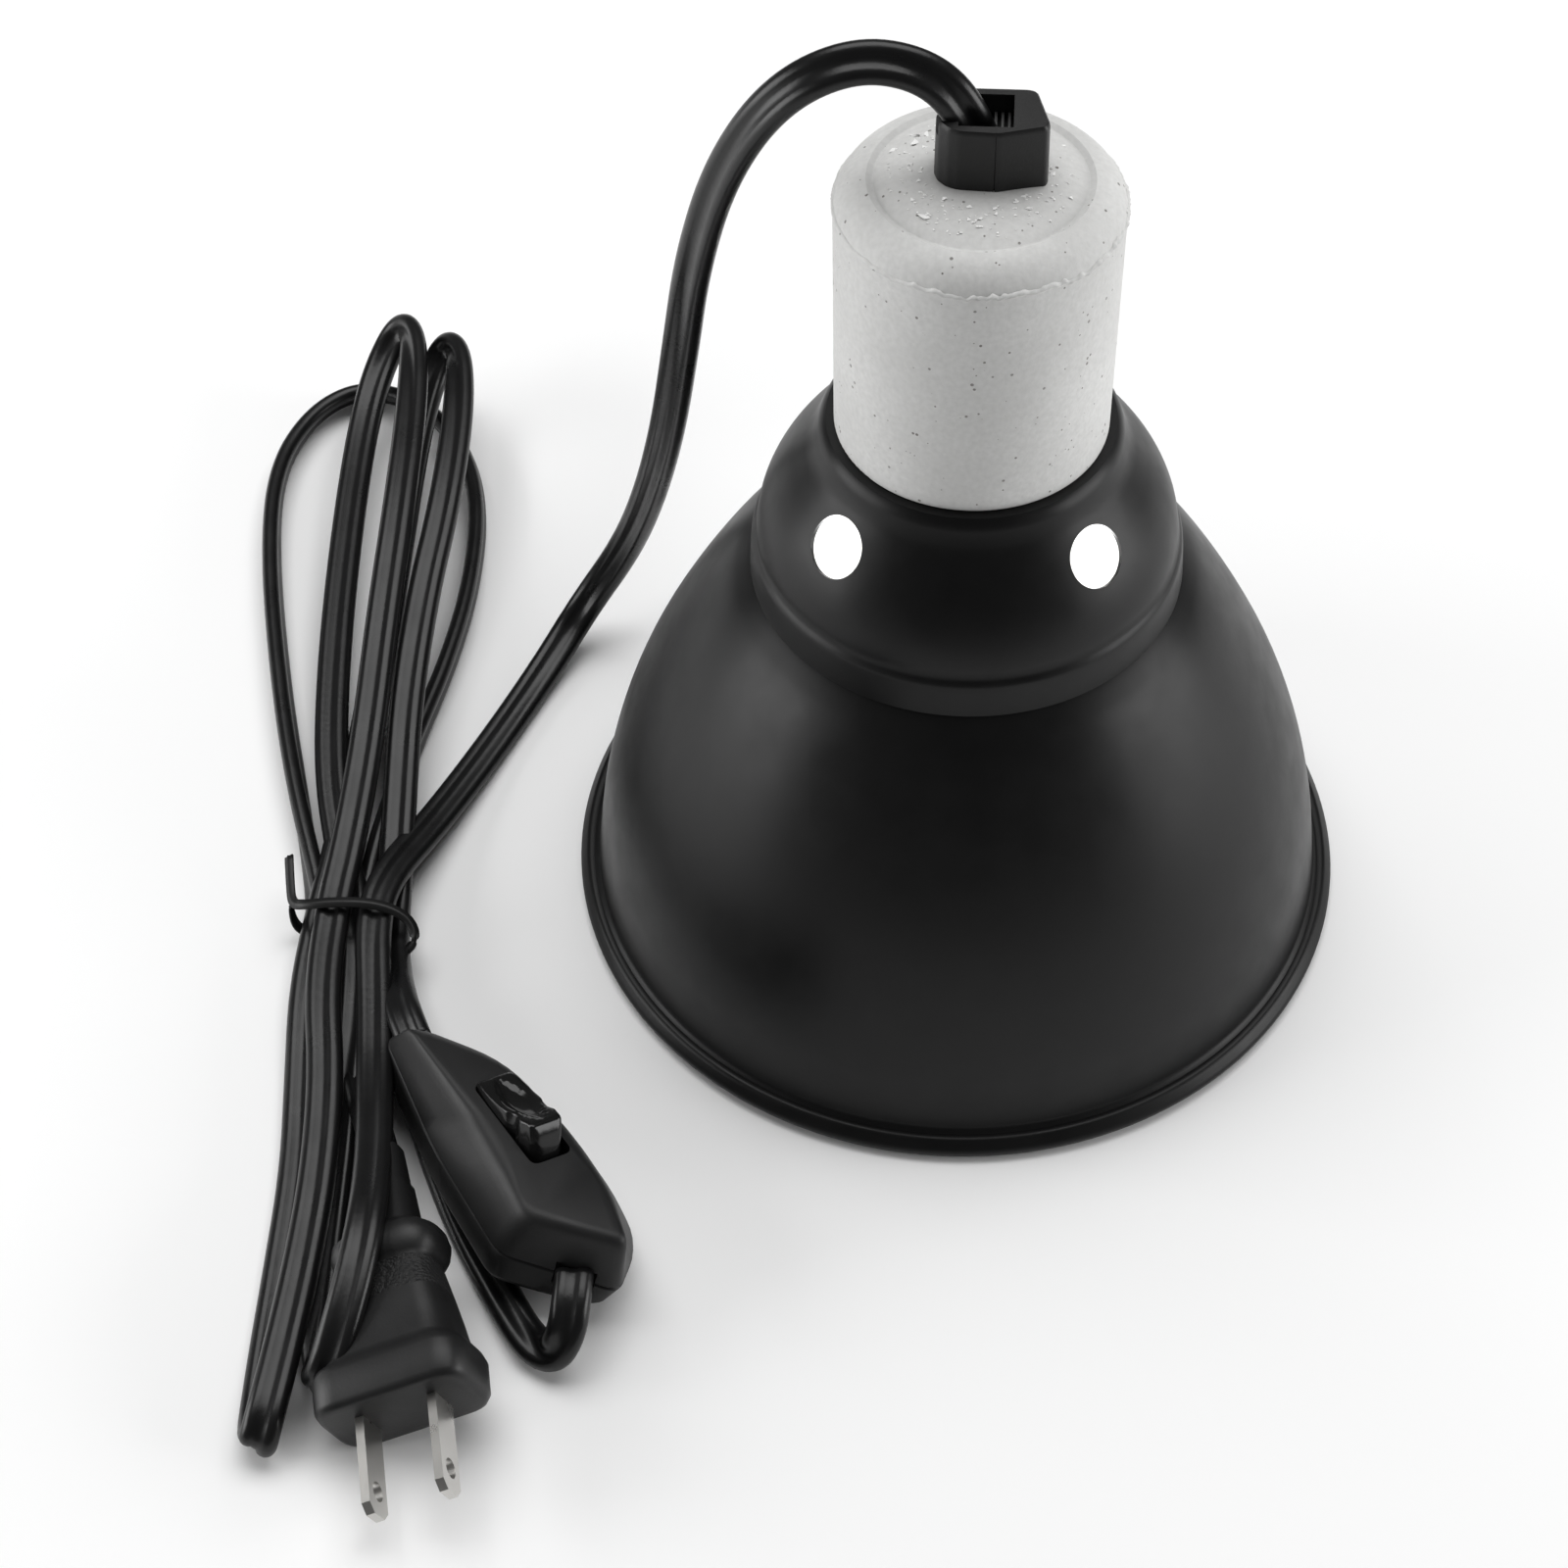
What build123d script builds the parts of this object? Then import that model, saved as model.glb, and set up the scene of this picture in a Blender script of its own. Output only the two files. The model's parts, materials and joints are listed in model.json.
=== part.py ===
from build123d import *

import os
from math import atan2, cos, degrees, hypot, pi, radians, sin, tan

# A dome heat lamp: spun aluminium dome and vent cap, ceramic lampholder with an E26 screw shell, strain
# relief, flat two-core cord with an in-line rocker switch and a two-blade plug, its spare length in a hank.
# Millimetres. The origin is the middle of the dome's rim on the floor, +Z up, the cord goes to -X.

os.makedirs("parts", exist_ok=True)

# ---------------------------------------------------------------- driving dimensions
RIM_RADIUS = 70.0
SHEET = 0.9
BEAD_RADIUS = 2.2
BEAD_HEIGHT = 2.0
NECK_RADIUS = 34.6
NECK_TOP = 84.0

SKIRT_RADIUS = 36.3
SKIRT_BOTTOM = 78.4
SHOULDER_HEIGHT = 85.2
CAP_TOP = 110.2
VENT_DIAMETER = 10.2
VENT_COUNT = 4
VENT_RING_RADIUS = 29.0
VENT_HEIGHT = 98.6
VENT_TILT = 64.0

CERAMIC_RADIUS = 22.06
CERAMIC_TOP = 153.4
SPIGOT_RADIUS = 16.8
SPIGOT_BOTTOM = 103.2
WEB_BOTTOM = 132.0
WEB_TOP = 138.0
BORE_RADIUS = 14.2
LID_RING_RADIUS = 17.1
LID_TOP = 157.9

SHELL_BORE_RADIUS = 13.2
SHELL_WALL = 0.5
SHELL_MOUTH = 105.0
SHELL_SHOULDER = 127.2
CONTACT_SCREW_RADIUS = 10.4

NIPPLE_RADIUS = 4.85
NIPPLE_BORE = 3.6
RELIEF_BASE = 157.9
RELIEF_TOP = 170.2
RELIEF_SPLIT = 1.9

# A round section with about the area of the flat cord, 6.6 by 3.3.
CORD_TUBE = 4.6
FLOOR_Z = CORD_TUBE / 2 + 0.05

SWITCH_ROLL = 18.0
SWITCH_HEADING = (0.628, -0.778, 0.0)
SWITCH_ORIGIN = (-75.6, -80.4, 4.1)
CASE_WALL = 1.6
SEAM_HEIGHT = 6.0
CASE_HEIGHT = 17.0
ROCKER_CENTRE = 2.0
PIVOT_HEIGHT = 13.0
ROCKER_REST = 15.0
ARM_REST = 8.0

PLUG_FACE = (-83.8, -129.2, 10.9)
PLUG_HEADING = -77.0
PLUG_PITCH = 2.0
PLUG_ROLL = 20.0
BLADE_PITCH = 12.7
BLADE_LENGTH = 16.2


def finish(piece, name):
    """Label a finished piece and write it to its own STEP file."""
    piece.part.label = name
    export_step(piece.part, f"parts/{name}.step")


def inner_line(points, wall):
    """The points of a profile moved inwards by the sheet thickness, square to the profile."""
    moved = []
    for i, (r, z) in enumerate(points):
        r0, z0 = points[max(i - 1, 0)]
        r1, z1 = points[min(i + 1, len(points) - 1)]
        run = hypot(r1 - r0, z1 - z0)
        moved.append((r - wall * (z1 - z0) / run, z + wall * (r1 - r0) / run))
    return moved


# ---------------------------------------------------------------- dome
DOME_PROFILE = [
    (67.8, 4.2),
    (66.3, 6.4),
    (65.5, 11.6),
    (64.4, 19.3),
    (61.6, 30.9),
    (57.6, 42.5),
    (52.2, 54.1),
    (45.8, 65.7),
    (40.6, 73.6),
    (36.6, 77.6),
    (NECK_RADIUS, 78.6),
    (NECK_RADIUS, NECK_TOP),
]

with BuildPart() as reflector_dome:
    with BuildSketch(Plane.XZ):
        with BuildLine():
            inside = inner_line(DOME_PROFILE, SHEET)
            Polyline(*DOME_PROFILE[:2])
            Spline(*DOME_PROFILE[1:10])
            Polyline(*DOME_PROFILE[9:], inside[-1], *inside[-2:-4:-1])
            Spline(*inside[9:0:-1])
            Polyline(inside[1], inside[0], DOME_PROFILE[0])
        make_face()
    revolve(axis=Axis.Z)
    # The rim is curled outwards into a hollow bead with its gap towards the inside of the dome.
    with BuildSketch(Plane.XZ):
        with Locations((RIM_RADIUS - BEAD_RADIUS, BEAD_HEIGHT)):
            Circle(BEAD_RADIUS)
            Circle(BEAD_RADIUS - SHEET, mode=Mode.SUBTRACT)
            with Locations((-BEAD_RADIUS, -0.6)):
                Rectangle(2.6, 0.7, mode=Mode.SUBTRACT)
            with Locations((BEAD_RADIUS, -0.2)):
                Rectangle(0.5, 0.5, mode=Mode.SUBTRACT)
            with Locations((0, -BEAD_HEIGHT - 1)):
                Rectangle(3 * BEAD_RADIUS, 2, mode=Mode.SUBTRACT)
    revolve(axis=Axis.Z)
finish(reflector_dome, "reflector_dome")

# ---------------------------------------------------------------- vent cap
CAP_PROFILE = [
    (SKIRT_RADIUS, SKIRT_BOTTOM),
    (SKIRT_RADIUS - 0.7, SHOULDER_HEIGHT - 0.6),
    (SKIRT_RADIUS - 1.6, SHOULDER_HEIGHT + 0.9),
    (32.6, 91.6),
    (29.6, 98.0),
    (26.9, 103.6),
    (25.6, 106.2),
    (24.6, 108.6),
    (23.4, CAP_TOP),
    (SPIGOT_RADIUS + 0.2, CAP_TOP),
]

RETAINING_SCREWS = [(19.4, 0), (-19.4, 0)]

with BuildPart() as vent_cap:
    with BuildSketch(Plane.XZ):
        with BuildLine():
            inside = inner_line(CAP_PROFILE, SHEET)
            Polyline(*CAP_PROFILE, *inside[::-1], close=True)
        make_face()
    revolve(axis=Axis.Z)
    # Round vent holes, square to the cone, at the four corners.
    for corner in range(VENT_COUNT):
        turn = radians(45 + 360 / VENT_COUNT * corner)
        centre = (VENT_RING_RADIUS * cos(turn), VENT_RING_RADIUS * sin(turn), VENT_HEIGHT)
        tilt = radians(90 - VENT_TILT)
        outward = (cos(turn) * cos(tilt), sin(turn) * cos(tilt), sin(tilt))
        with BuildSketch(Plane(origin=centre, z_dir=outward)):
            Circle(VENT_DIAMETER / 2)
        extrude(amount=5, both=True, mode=Mode.SUBTRACT)
    # Clearance holes in the top plate for the retaining screws.
    with BuildSketch(Plane.XY.offset(CAP_TOP - 2 * SHEET)):
        with Locations(*RETAINING_SCREWS):
            Circle(1.3)
    extrude(amount=3 * SHEET, mode=Mode.SUBTRACT)
finish(vent_cap, "vent_cap")

# ---------------------------------------------------------------- ceramic lampholder
WEB_HOLES = [(-4.2, 0), (0, CONTACT_SCREW_RADIUS), (0, -CONTACT_SCREW_RADIUS)]

with BuildPart() as lampholder_body:
    with BuildSketch(Plane.XY.offset(CAP_TOP)):
        Circle(CERAMIC_RADIUS)
    extrude(amount=CERAMIC_TOP - CAP_TOP)
    fillet(lampholder_body.edges().filter_by(GeomType.CIRCLE).sort_by(Axis.Z)[0], 0.6)
    with BuildSketch(Plane.XY.offset(SPIGOT_BOTTOM)):
        Circle(SPIGOT_RADIUS)
    extrude(amount=CAP_TOP - SPIGOT_BOTTOM + 1)
    with BuildSketch(Plane.XY.offset(SPIGOT_BOTTOM)):
        Circle(BORE_RADIUS)
    extrude(amount=WEB_BOTTOM - SPIGOT_BOTTOM, mode=Mode.SUBTRACT)
    with BuildSketch(Plane.XY.offset(WEB_TOP)):
        Circle(CERAMIC_RADIUS - 3.6)
    extrude(amount=CERAMIC_TOP - WEB_TOP, mode=Mode.SUBTRACT)
    with BuildSketch(Plane.XY.offset(WEB_BOTTOM)):
        with Locations(*WEB_HOLES):
            Circle(1.7)
    extrude(amount=WEB_TOP - WEB_BOTTOM, mode=Mode.SUBTRACT)
    # Blind holes from below for the retaining ring's two screws.
    with BuildSketch(Plane.XY.offset(CAP_TOP)):
        with Locations(*RETAINING_SCREWS):
            Circle(1.2)
    extrude(amount=9, mode=Mode.SUBTRACT)
finish(lampholder_body, "lampholder_body")

with BuildPart() as lampholder_lid:
    with BuildSketch(Plane.XZ):
        with BuildLine():
            Line((NIPPLE_RADIUS + 0.2, CERAMIC_TOP - 0.8), (CERAMIC_RADIUS - 3.8, CERAMIC_TOP - 0.8))
            Line((CERAMIC_RADIUS - 3.8, CERAMIC_TOP - 0.8), (CERAMIC_RADIUS - 3.8, CERAMIC_TOP))
            Line((CERAMIC_RADIUS - 3.8, CERAMIC_TOP), (CERAMIC_RADIUS, CERAMIC_TOP))
            ThreePointArc((CERAMIC_RADIUS, CERAMIC_TOP), (20.2, 156.4), (LID_RING_RADIUS, LID_TOP))
            Line((LID_RING_RADIUS, LID_TOP), (LID_RING_RADIUS - 0.9, LID_TOP - 0.5))
            Line((LID_RING_RADIUS - 0.9, LID_TOP - 0.5), (NIPPLE_RADIUS + 0.2, LID_TOP - 0.5))
            Line((NIPPLE_RADIUS + 0.2, LID_TOP - 0.5), (NIPPLE_RADIUS + 0.2, CERAMIC_TOP - 0.8))
        make_face()
    revolve(axis=Axis.Z)
finish(lampholder_lid, "lampholder_lid")

with BuildPart() as retaining_ring:
    with BuildSketch(Plane.XY.offset(CAP_TOP - SHEET - 1.2)):
        Circle(21.6)
        Circle(SPIGOT_RADIUS + 0.3, mode=Mode.SUBTRACT)
        with Locations(*RETAINING_SCREWS):
            Circle(1.3, mode=Mode.SUBTRACT)
    extrude(amount=1.2)
finish(retaining_ring, "retaining_ring")

with BuildPart() as retaining_screws:
    for x, y in RETAINING_SCREWS:
        head_plane = Plane(origin=(x, y, CAP_TOP - SHEET - 2.6), z_dir=(0, 0, 1))
        with BuildSketch(head_plane):
            Circle(2.0)
        extrude(amount=1.4)
        with BuildSketch(head_plane):
            Rectangle(0.7, 3.2)
        extrude(amount=0.6, mode=Mode.SUBTRACT)
        with BuildSketch(head_plane.offset(1.4)):
            Circle(1.1)
        extrude(amount=9.6)
finish(retaining_screws, "retaining_screws")

# ---------------------------------------------------------------- electrical parts of the lampholder
with BuildPart() as screw_shell:
    with BuildSketch(Plane.XY.offset(SHELL_MOUTH)):
        Circle(SHELL_BORE_RADIUS + SHELL_WALL)
        Circle(SHELL_BORE_RADIUS, mode=Mode.SUBTRACT)
    extrude(amount=WEB_BOTTOM - SHELL_MOUTH)
    # Above the thread the shell draws in to its flat top.
    with BuildSketch(Plane.XY.offset(SHELL_SHOULDER)):
        Circle(SHELL_BORE_RADIUS + SHELL_WALL)
        Circle(SHELL_BORE_RADIUS - 1.0, mode=Mode.SUBTRACT)
    extrude(amount=WEB_BOTTOM - SHELL_SHOULDER)
    with BuildSketch(Plane.XY.offset(WEB_BOTTOM - SHELL_WALL)):
        Circle(SHELL_BORE_RADIUS + SHELL_WALL)
        Circle(7.4, mode=Mode.SUBTRACT)
        with Locations((0, CONTACT_SCREW_RADIUS), (0, -CONTACT_SCREW_RADIUS)):
            Circle(1.6, mode=Mode.SUBTRACT)
    extrude(amount=SHELL_WALL)
finish(screw_shell, "screw_shell")

with BuildPart() as shell_rivets:
    for side in (-1, 1):
        foot = (0, side * CONTACT_SCREW_RADIUS, WEB_BOTTOM - SHELL_WALL - 0.8)
        with BuildSketch(Plane(origin=foot, z_dir=(0, 0, 1))):
            Circle(1.75)
        extrude(amount=0.8)
        with BuildSketch(Plane(origin=foot, z_dir=(0, 0, 1))):
            Circle(1.5)
        extrude(amount=WEB_TOP - WEB_BOTTOM + 3.0)
finish(shell_rivets, "shell_rivets")

LEAF_THICKNESS = 0.5
LEAF_WIDTH = 5.0
LEAF_BEND = -1.8

with BuildPart() as centre_contact:
    with BuildSketch(Plane.XZ.offset(-LEAF_WIDTH / 2)):
        with BuildLine():
            Polyline(
                (LEAF_BEND, WEB_BOTTOM - LEAF_THICKNESS - 0.1),
                (1.5, WEB_BOTTOM - 4.2),
                (3.6, WEB_BOTTOM - 4.2),
                (5.2, WEB_BOTTOM - 2.8),
                (4.8, WEB_BOTTOM - 2.4),
                (3.3, WEB_BOTTOM - 4.2 + LEAF_THICKNESS),
                (1.8, WEB_BOTTOM - 4.2 + LEAF_THICKNESS),
                (LEAF_BEND + 0.7, WEB_BOTTOM - 0.5),
                close=True,
            )
        make_face()
    extrude(amount=LEAF_WIDTH)
finish(centre_contact, "centre_contact")

with BuildPart() as contact_root:
    with BuildSketch(Plane.XY.offset(WEB_BOTTOM - LEAF_THICKNESS)):
        with Locations((-4.3, 0)):
            Rectangle(4.4, LEAF_WIDTH)
            Circle(1.6, mode=Mode.SUBTRACT)
    extrude(amount=LEAF_THICKNESS)
finish(contact_root, "contact_root")

with BuildPart() as contact_rivet:
    with BuildSketch(Plane.XY.offset(WEB_BOTTOM - LEAF_THICKNESS - 0.8)):
        with Locations((-4.2, 0)):
            Circle(2.0)
    extrude(amount=0.8)
    with BuildSketch(Plane.XY.offset(WEB_BOTTOM - LEAF_THICKNESS - 0.8)):
        with Locations((-4.2, 0)):
            Circle(1.5)
    extrude(amount=WEB_TOP - WEB_BOTTOM + 3.4)
finish(contact_rivet, "contact_rivet")

TERMINAL_X = -10.6


def terminal_strip(holes, screw_at):
    """A brass strip on the ceramic web from its rivet to its terminal screw, with a hole for each."""
    (x0, y0), (x1, y1) = holes[0], screw_at
    angle = degrees(atan2(y1 - y0, x1 - x0))
    with BuildPart() as strip:
        with BuildSketch(Plane.XY.offset(WEB_TOP)):
            with Locations(Location(((x0 + x1) / 2, (y0 + y1) / 2, 0), (0, 0, angle))):
                SlotCenterToCenter(hypot(x1 - x0, y1 - y0), 5.2)
            with Locations(*holes):
                Circle(1.6, mode=Mode.SUBTRACT)
            with Locations(screw_at):
                Circle(1.5, mode=Mode.SUBTRACT)
        extrude(amount=0.8)
    return strip


LINE_SCREW = (-12.2, 4.4)
SHELL_SCREW = (11.0, -4.4)
line_terminal = terminal_strip([(-4.2, 0)], LINE_SCREW)
finish(line_terminal, "line_terminal")
shell_terminal = terminal_strip([(0, -CONTACT_SCREW_RADIUS)], SHELL_SCREW)
finish(shell_terminal, "shell_terminal")

with BuildPart() as terminal_screws:
    for x, y in (LINE_SCREW, SHELL_SCREW):
        with BuildSketch(Plane.XY.offset(WEB_TOP + 2.2)):
            with Locations((x, y)):
                Circle(2.6)
        extrude(amount=1.6)
        with BuildSketch(Plane.XY.offset(WEB_TOP + 3.1)):
            with Locations((x, y)):
                Rectangle(0.7, 6)
        extrude(amount=1, mode=Mode.SUBTRACT)
        with BuildSketch(Plane.XY.offset(WEB_TOP)):
            with Locations((x, y)):
                Circle(1.4)
        extrude(amount=2.2)
finish(terminal_screws, "terminal_screws")


def wire(points, radius, corner):
    """A round wire along straight runs joined by arcs."""
    with BuildPart() as tube:
        with BuildLine() as path:
            FilletPolyline(*points, radius=corner)
        with BuildSketch(Plane(origin=path.line @ 0, z_dir=path.line % 0)):
            Circle(radius)
        sweep()
    return tube


line_wire = wire([(-1.4, 0, 152.2), (-1.4, 0, 147.2), (-8.8, 4.6, 144.4), (-9.0, 6.6, 139.9)], 0.85, 1.6)
finish(line_wire, "line_wire")
neutral_wire = wire([(1.4, 0, 152.2), (1.4, 0, 147.2), (7.8, -4.6, 144.4), (8.0, -6.8, 139.9)], 0.85, 1.6)
finish(neutral_wire, "neutral_wire")

# ---------------------------------------------------------------- nipple and strain relief
with BuildPart() as cord_nipple:
    with BuildSketch(Plane.XY.offset(CERAMIC_TOP - 4.6)):
        Circle(NIPPLE_RADIUS)
        Circle(NIPPLE_BORE, mode=Mode.SUBTRACT)
    extrude(amount=12.4)
finish(cord_nipple, "cord_nipple")

with BuildPart() as lock_nut:
    with BuildSketch(Plane.XY.offset(CERAMIC_TOP - 3.9)):
        RegularPolygon(8.2, 6)
        Circle(NIPPLE_RADIUS + 0.05, mode=Mode.SUBTRACT)
    extrude(amount=3.0)
finish(lock_nut, "lock_nut")

RELIEF_LEFT = -7.0
RELIEF_RIGHT = 9.3
RELIEF_HALF_DEPTH = 5.6
SLOT_HALF_WIDTH = 2.6

with BuildPart() as relief_block:
    with BuildSketch(Plane.XY.offset(RELIEF_BASE)):
        with BuildLine():
            Line((RELIEF_RIGHT, -RELIEF_HALF_DEPTH), (RELIEF_RIGHT, RELIEF_HALF_DEPTH))
            Line((RELIEF_RIGHT, RELIEF_HALF_DEPTH), (RELIEF_LEFT + 5.6, RELIEF_HALF_DEPTH))
            ThreePointArc(
                (RELIEF_LEFT + 5.6, RELIEF_HALF_DEPTH),
                (RELIEF_LEFT, 0),
                (RELIEF_LEFT + 5.6, -RELIEF_HALF_DEPTH),
            )
            Line((RELIEF_LEFT + 5.6, -RELIEF_HALF_DEPTH), (RELIEF_RIGHT, -RELIEF_HALF_DEPTH))
        make_face()
    extrude(amount=RELIEF_TOP - RELIEF_BASE)
    chamfer(relief_block.faces().sort_by(Axis.Z)[-1].edges(), 0.7)
    # Threaded well for the nipple.
    with BuildSketch(Plane.XY.offset(RELIEF_BASE - 1)):
        Circle(NIPPLE_RADIUS + 0.1)
    extrude(amount=4.6, mode=Mode.SUBTRACT)
    # Cord passage, open at the top and to the left.
    with BuildSketch(Plane.XY.offset(RELIEF_BASE + 3)):
        Circle(3.7)
    extrude(amount=20, mode=Mode.SUBTRACT)
    with BuildSketch(Plane.XZ.offset(-SLOT_HALF_WIDTH)):
        with BuildLine():
            Polyline(
                (RELIEF_LEFT - 1, RELIEF_TOP - 4.6),
                (-3.0, RELIEF_TOP - 7.5),
                (4.6, RELIEF_TOP - 7.5),
                (4.6, RELIEF_TOP + 1),
                (RELIEF_LEFT - 1, RELIEF_TOP + 1),
                close=True,
            )
        make_face()
    extrude(amount=2 * SLOT_HALF_WIDTH, mode=Mode.SUBTRACT)

with BuildPart() as strain_relief_left:
    add(relief_block.part)
    split(bisect_by=Plane(origin=(RELIEF_SPLIT, 0, 0), z_dir=(-1, 0, 0)))
    # Gripping ribs on the front wall of the passage.
    for rib in range(4):
        with BuildSketch(Plane.XY.offset(RELIEF_TOP - 6.4)):
            with Locations((-4.4 + 1.5 * rib, -SLOT_HALF_WIDTH - 0.7)):
                Rectangle(0.7, 2.6)
        extrude(amount=5.4)
finish(strain_relief_left, "strain_relief_left")

with BuildPart() as strain_relief_right:
    add(relief_block.part)
    split(bisect_by=Plane(origin=(RELIEF_SPLIT + 0.05, 0, 0), z_dir=(1, 0, 0)))
finish(strain_relief_right, "strain_relief_right")

# ---------------------------------------------------------------- in-line switch casing
roll = radians(SWITCH_ROLL)
across = (-SWITCH_HEADING[1] * cos(roll), SWITCH_HEADING[0] * cos(roll), -sin(roll))
upward = (-SWITCH_HEADING[1] * sin(roll), SWITCH_HEADING[0] * sin(roll), cos(roll))
switch_plane = Plane(origin=SWITCH_ORIGIN, x_dir=SWITCH_HEADING, z_dir=upward)
switch_side = Plane(origin=SWITCH_ORIGIN, x_dir=SWITCH_HEADING, z_dir=tuple(-c for c in across))


# The casing at its seam: widest in the middle, tapering to a blunt tip at each end. The near tip is cut
# askew, and the cord leaves square to that cut.
CASING = [
    (-32.5, -4.6),
    (-31.5, 2.8),
    (-17.0, 10.8),
    (12.0, 13.8),
    (27.0, 11.4),
    (33.2, 1.4),
    (27.4, -8.2),
    (15.0, -14.2),
    (-15.0, -14.0),
]
CORD_OPENING = 5.0
FAR_OPENING = (-31.0, -0.5)
NEAR_OPENING = (28.8, -4.9)
NEAR_CUT = -30.0


def casing_outline(length, width):
    """The casing's outline with its length and its width scaled."""
    return [(x * length, y * width) for x, y in CASING]


with BuildPart() as cord_openings:
    with BuildSketch(switch_plane.offset(SEAM_HEIGHT - 1)):
        with Locations(Location((*FAR_OPENING, 0)), Location((*NEAR_OPENING, 0), (0, 0, NEAR_CUT))):
            Rectangle(12, 6.2)
    extrude(amount=CORD_OPENING)


def casing_solid(levels):
    """A solid lofted straight between casing outlines, each given with its height."""
    with BuildPart() as solid:
        for low, high in zip(levels, levels[1:]):
            for height, outline in (low, high):
                with BuildSketch(switch_plane.offset(height)):
                    with BuildLine():
                        Polyline(*outline, close=True)
                    make_face()
            loft(ruled=True)
    return solid


SEAM_OUTLINE = casing_outline(1.0, 1.0)
SEAM_INSIDE = casing_outline(0.94, 0.87)
upper_outer = casing_solid(
    [
        (SEAM_HEIGHT, SEAM_OUTLINE),
        (9.0, casing_outline(0.97, 0.96)),
        (CASE_HEIGHT, casing_outline(0.86, 0.64)),
    ]
)
upper_inner = casing_solid(
    [
        (SEAM_HEIGHT - 0.5, SEAM_INSIDE),
        (9.0, casing_outline(0.91, 0.83)),
        (CASE_HEIGHT - CASE_WALL, casing_outline(0.80, 0.54)),
    ]
)
lower_outer = casing_solid([(0, casing_outline(0.95, 0.89)), (SEAM_HEIGHT - 0.1, SEAM_OUTLINE)])
lower_inner = casing_solid([(CASE_WALL, casing_outline(0.89, 0.77)), (SEAM_HEIGHT, SEAM_INSIDE)])
COVER_SCREWS = [(-10.5, 6.2), (14.6, -6.9)]
switch_up = Axis(SWITCH_ORIGIN, upward)
pivot_point = switch_plane.from_local_coords((ROCKER_CENTRE, 0, PIVOT_HEIGHT))

with BuildPart() as switch_upper_shell:
    add(upper_outer.part)
    fillet(switch_upper_shell.faces().sort_by(switch_up)[-1].edges(), 1.2)
    add(upper_inner.part, mode=Mode.SUBTRACT)
    # Ears that carry the rocker's pivot pin, and posts for the cover screws.
    for side in (-1, 1):
        ear_plane = switch_side.offset(side * 4.5)
        with BuildSketch(ear_plane):
            with Locations((ROCKER_CENTRE, PIVOT_HEIGHT + 0.6)):
                Rectangle(5, 6.2)
        extrude(amount=side * 3.6)
    with BuildSketch(switch_plane.offset(2.0)):
        with Locations(*COVER_SCREWS):
            Circle(2.3)
    extrude(amount=10)
    # Slot for the rocker.
    with BuildSketch(switch_plane.offset(CASE_HEIGHT - 5)):
        with Locations((ROCKER_CENTRE, 0)):
            RectangleRounded(19.8, 8.4, 1.8)
    extrude(amount=10, mode=Mode.SUBTRACT)
    with BuildSketch(switch_side.offset(-7.0)):
        with Locations((ROCKER_CENTRE, PIVOT_HEIGHT)):
            Circle(1.1)
    extrude(amount=14, mode=Mode.SUBTRACT)
    with BuildSketch(switch_plane):
        with Locations(*COVER_SCREWS):
            Circle(1.0)
    extrude(amount=9, mode=Mode.SUBTRACT)
    add(cord_openings.part, mode=Mode.SUBTRACT)
finish(switch_upper_shell, "switch_upper_shell")

with BuildPart() as switch_lower_cover:
    add(lower_outer.part)
    add(lower_inner.part, mode=Mode.SUBTRACT)
    with BuildSketch(switch_plane):
        with Locations(*COVER_SCREWS):
            Circle(2.2)
    extrude(amount=0.9, mode=Mode.SUBTRACT)
    with BuildSketch(switch_plane):
        with Locations(*COVER_SCREWS):
            Circle(1.1)
    extrude(amount=3, mode=Mode.SUBTRACT)
    add(cord_openings.part, mode=Mode.SUBTRACT)
finish(switch_lower_cover, "switch_lower_cover")

with BuildPart() as switch_cover_screws:
    with BuildSketch(switch_plane.offset(0.1)):
        with Locations(*COVER_SCREWS):
            Circle(2.0)
    extrude(amount=0.8)
    with BuildSketch(switch_plane.offset(0.1)):
        with Locations(*COVER_SCREWS):
            Circle(0.95)
    extrude(amount=8.6)
finish(switch_cover_screws, "switch_cover_screws")

# ---------------------------------------------------------------- rocker and its contacts
rest = radians(ROCKER_REST)
rocker_along = tuple(a * cos(rest) + b * sin(rest) for a, b in zip(SWITCH_HEADING, upward))
rocker_plane = Plane(origin=pivot_point, x_dir=rocker_along, z_dir=tuple(-c for c in across))
ROCKER_CORNER = (6.9, 6.1)
ROCKER_RADIUS = hypot(*ROCKER_CORNER)
ROCKER_WIDTH = 7.8
PIN_RADIUS = 1.0
BORE = 1.6

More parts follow.
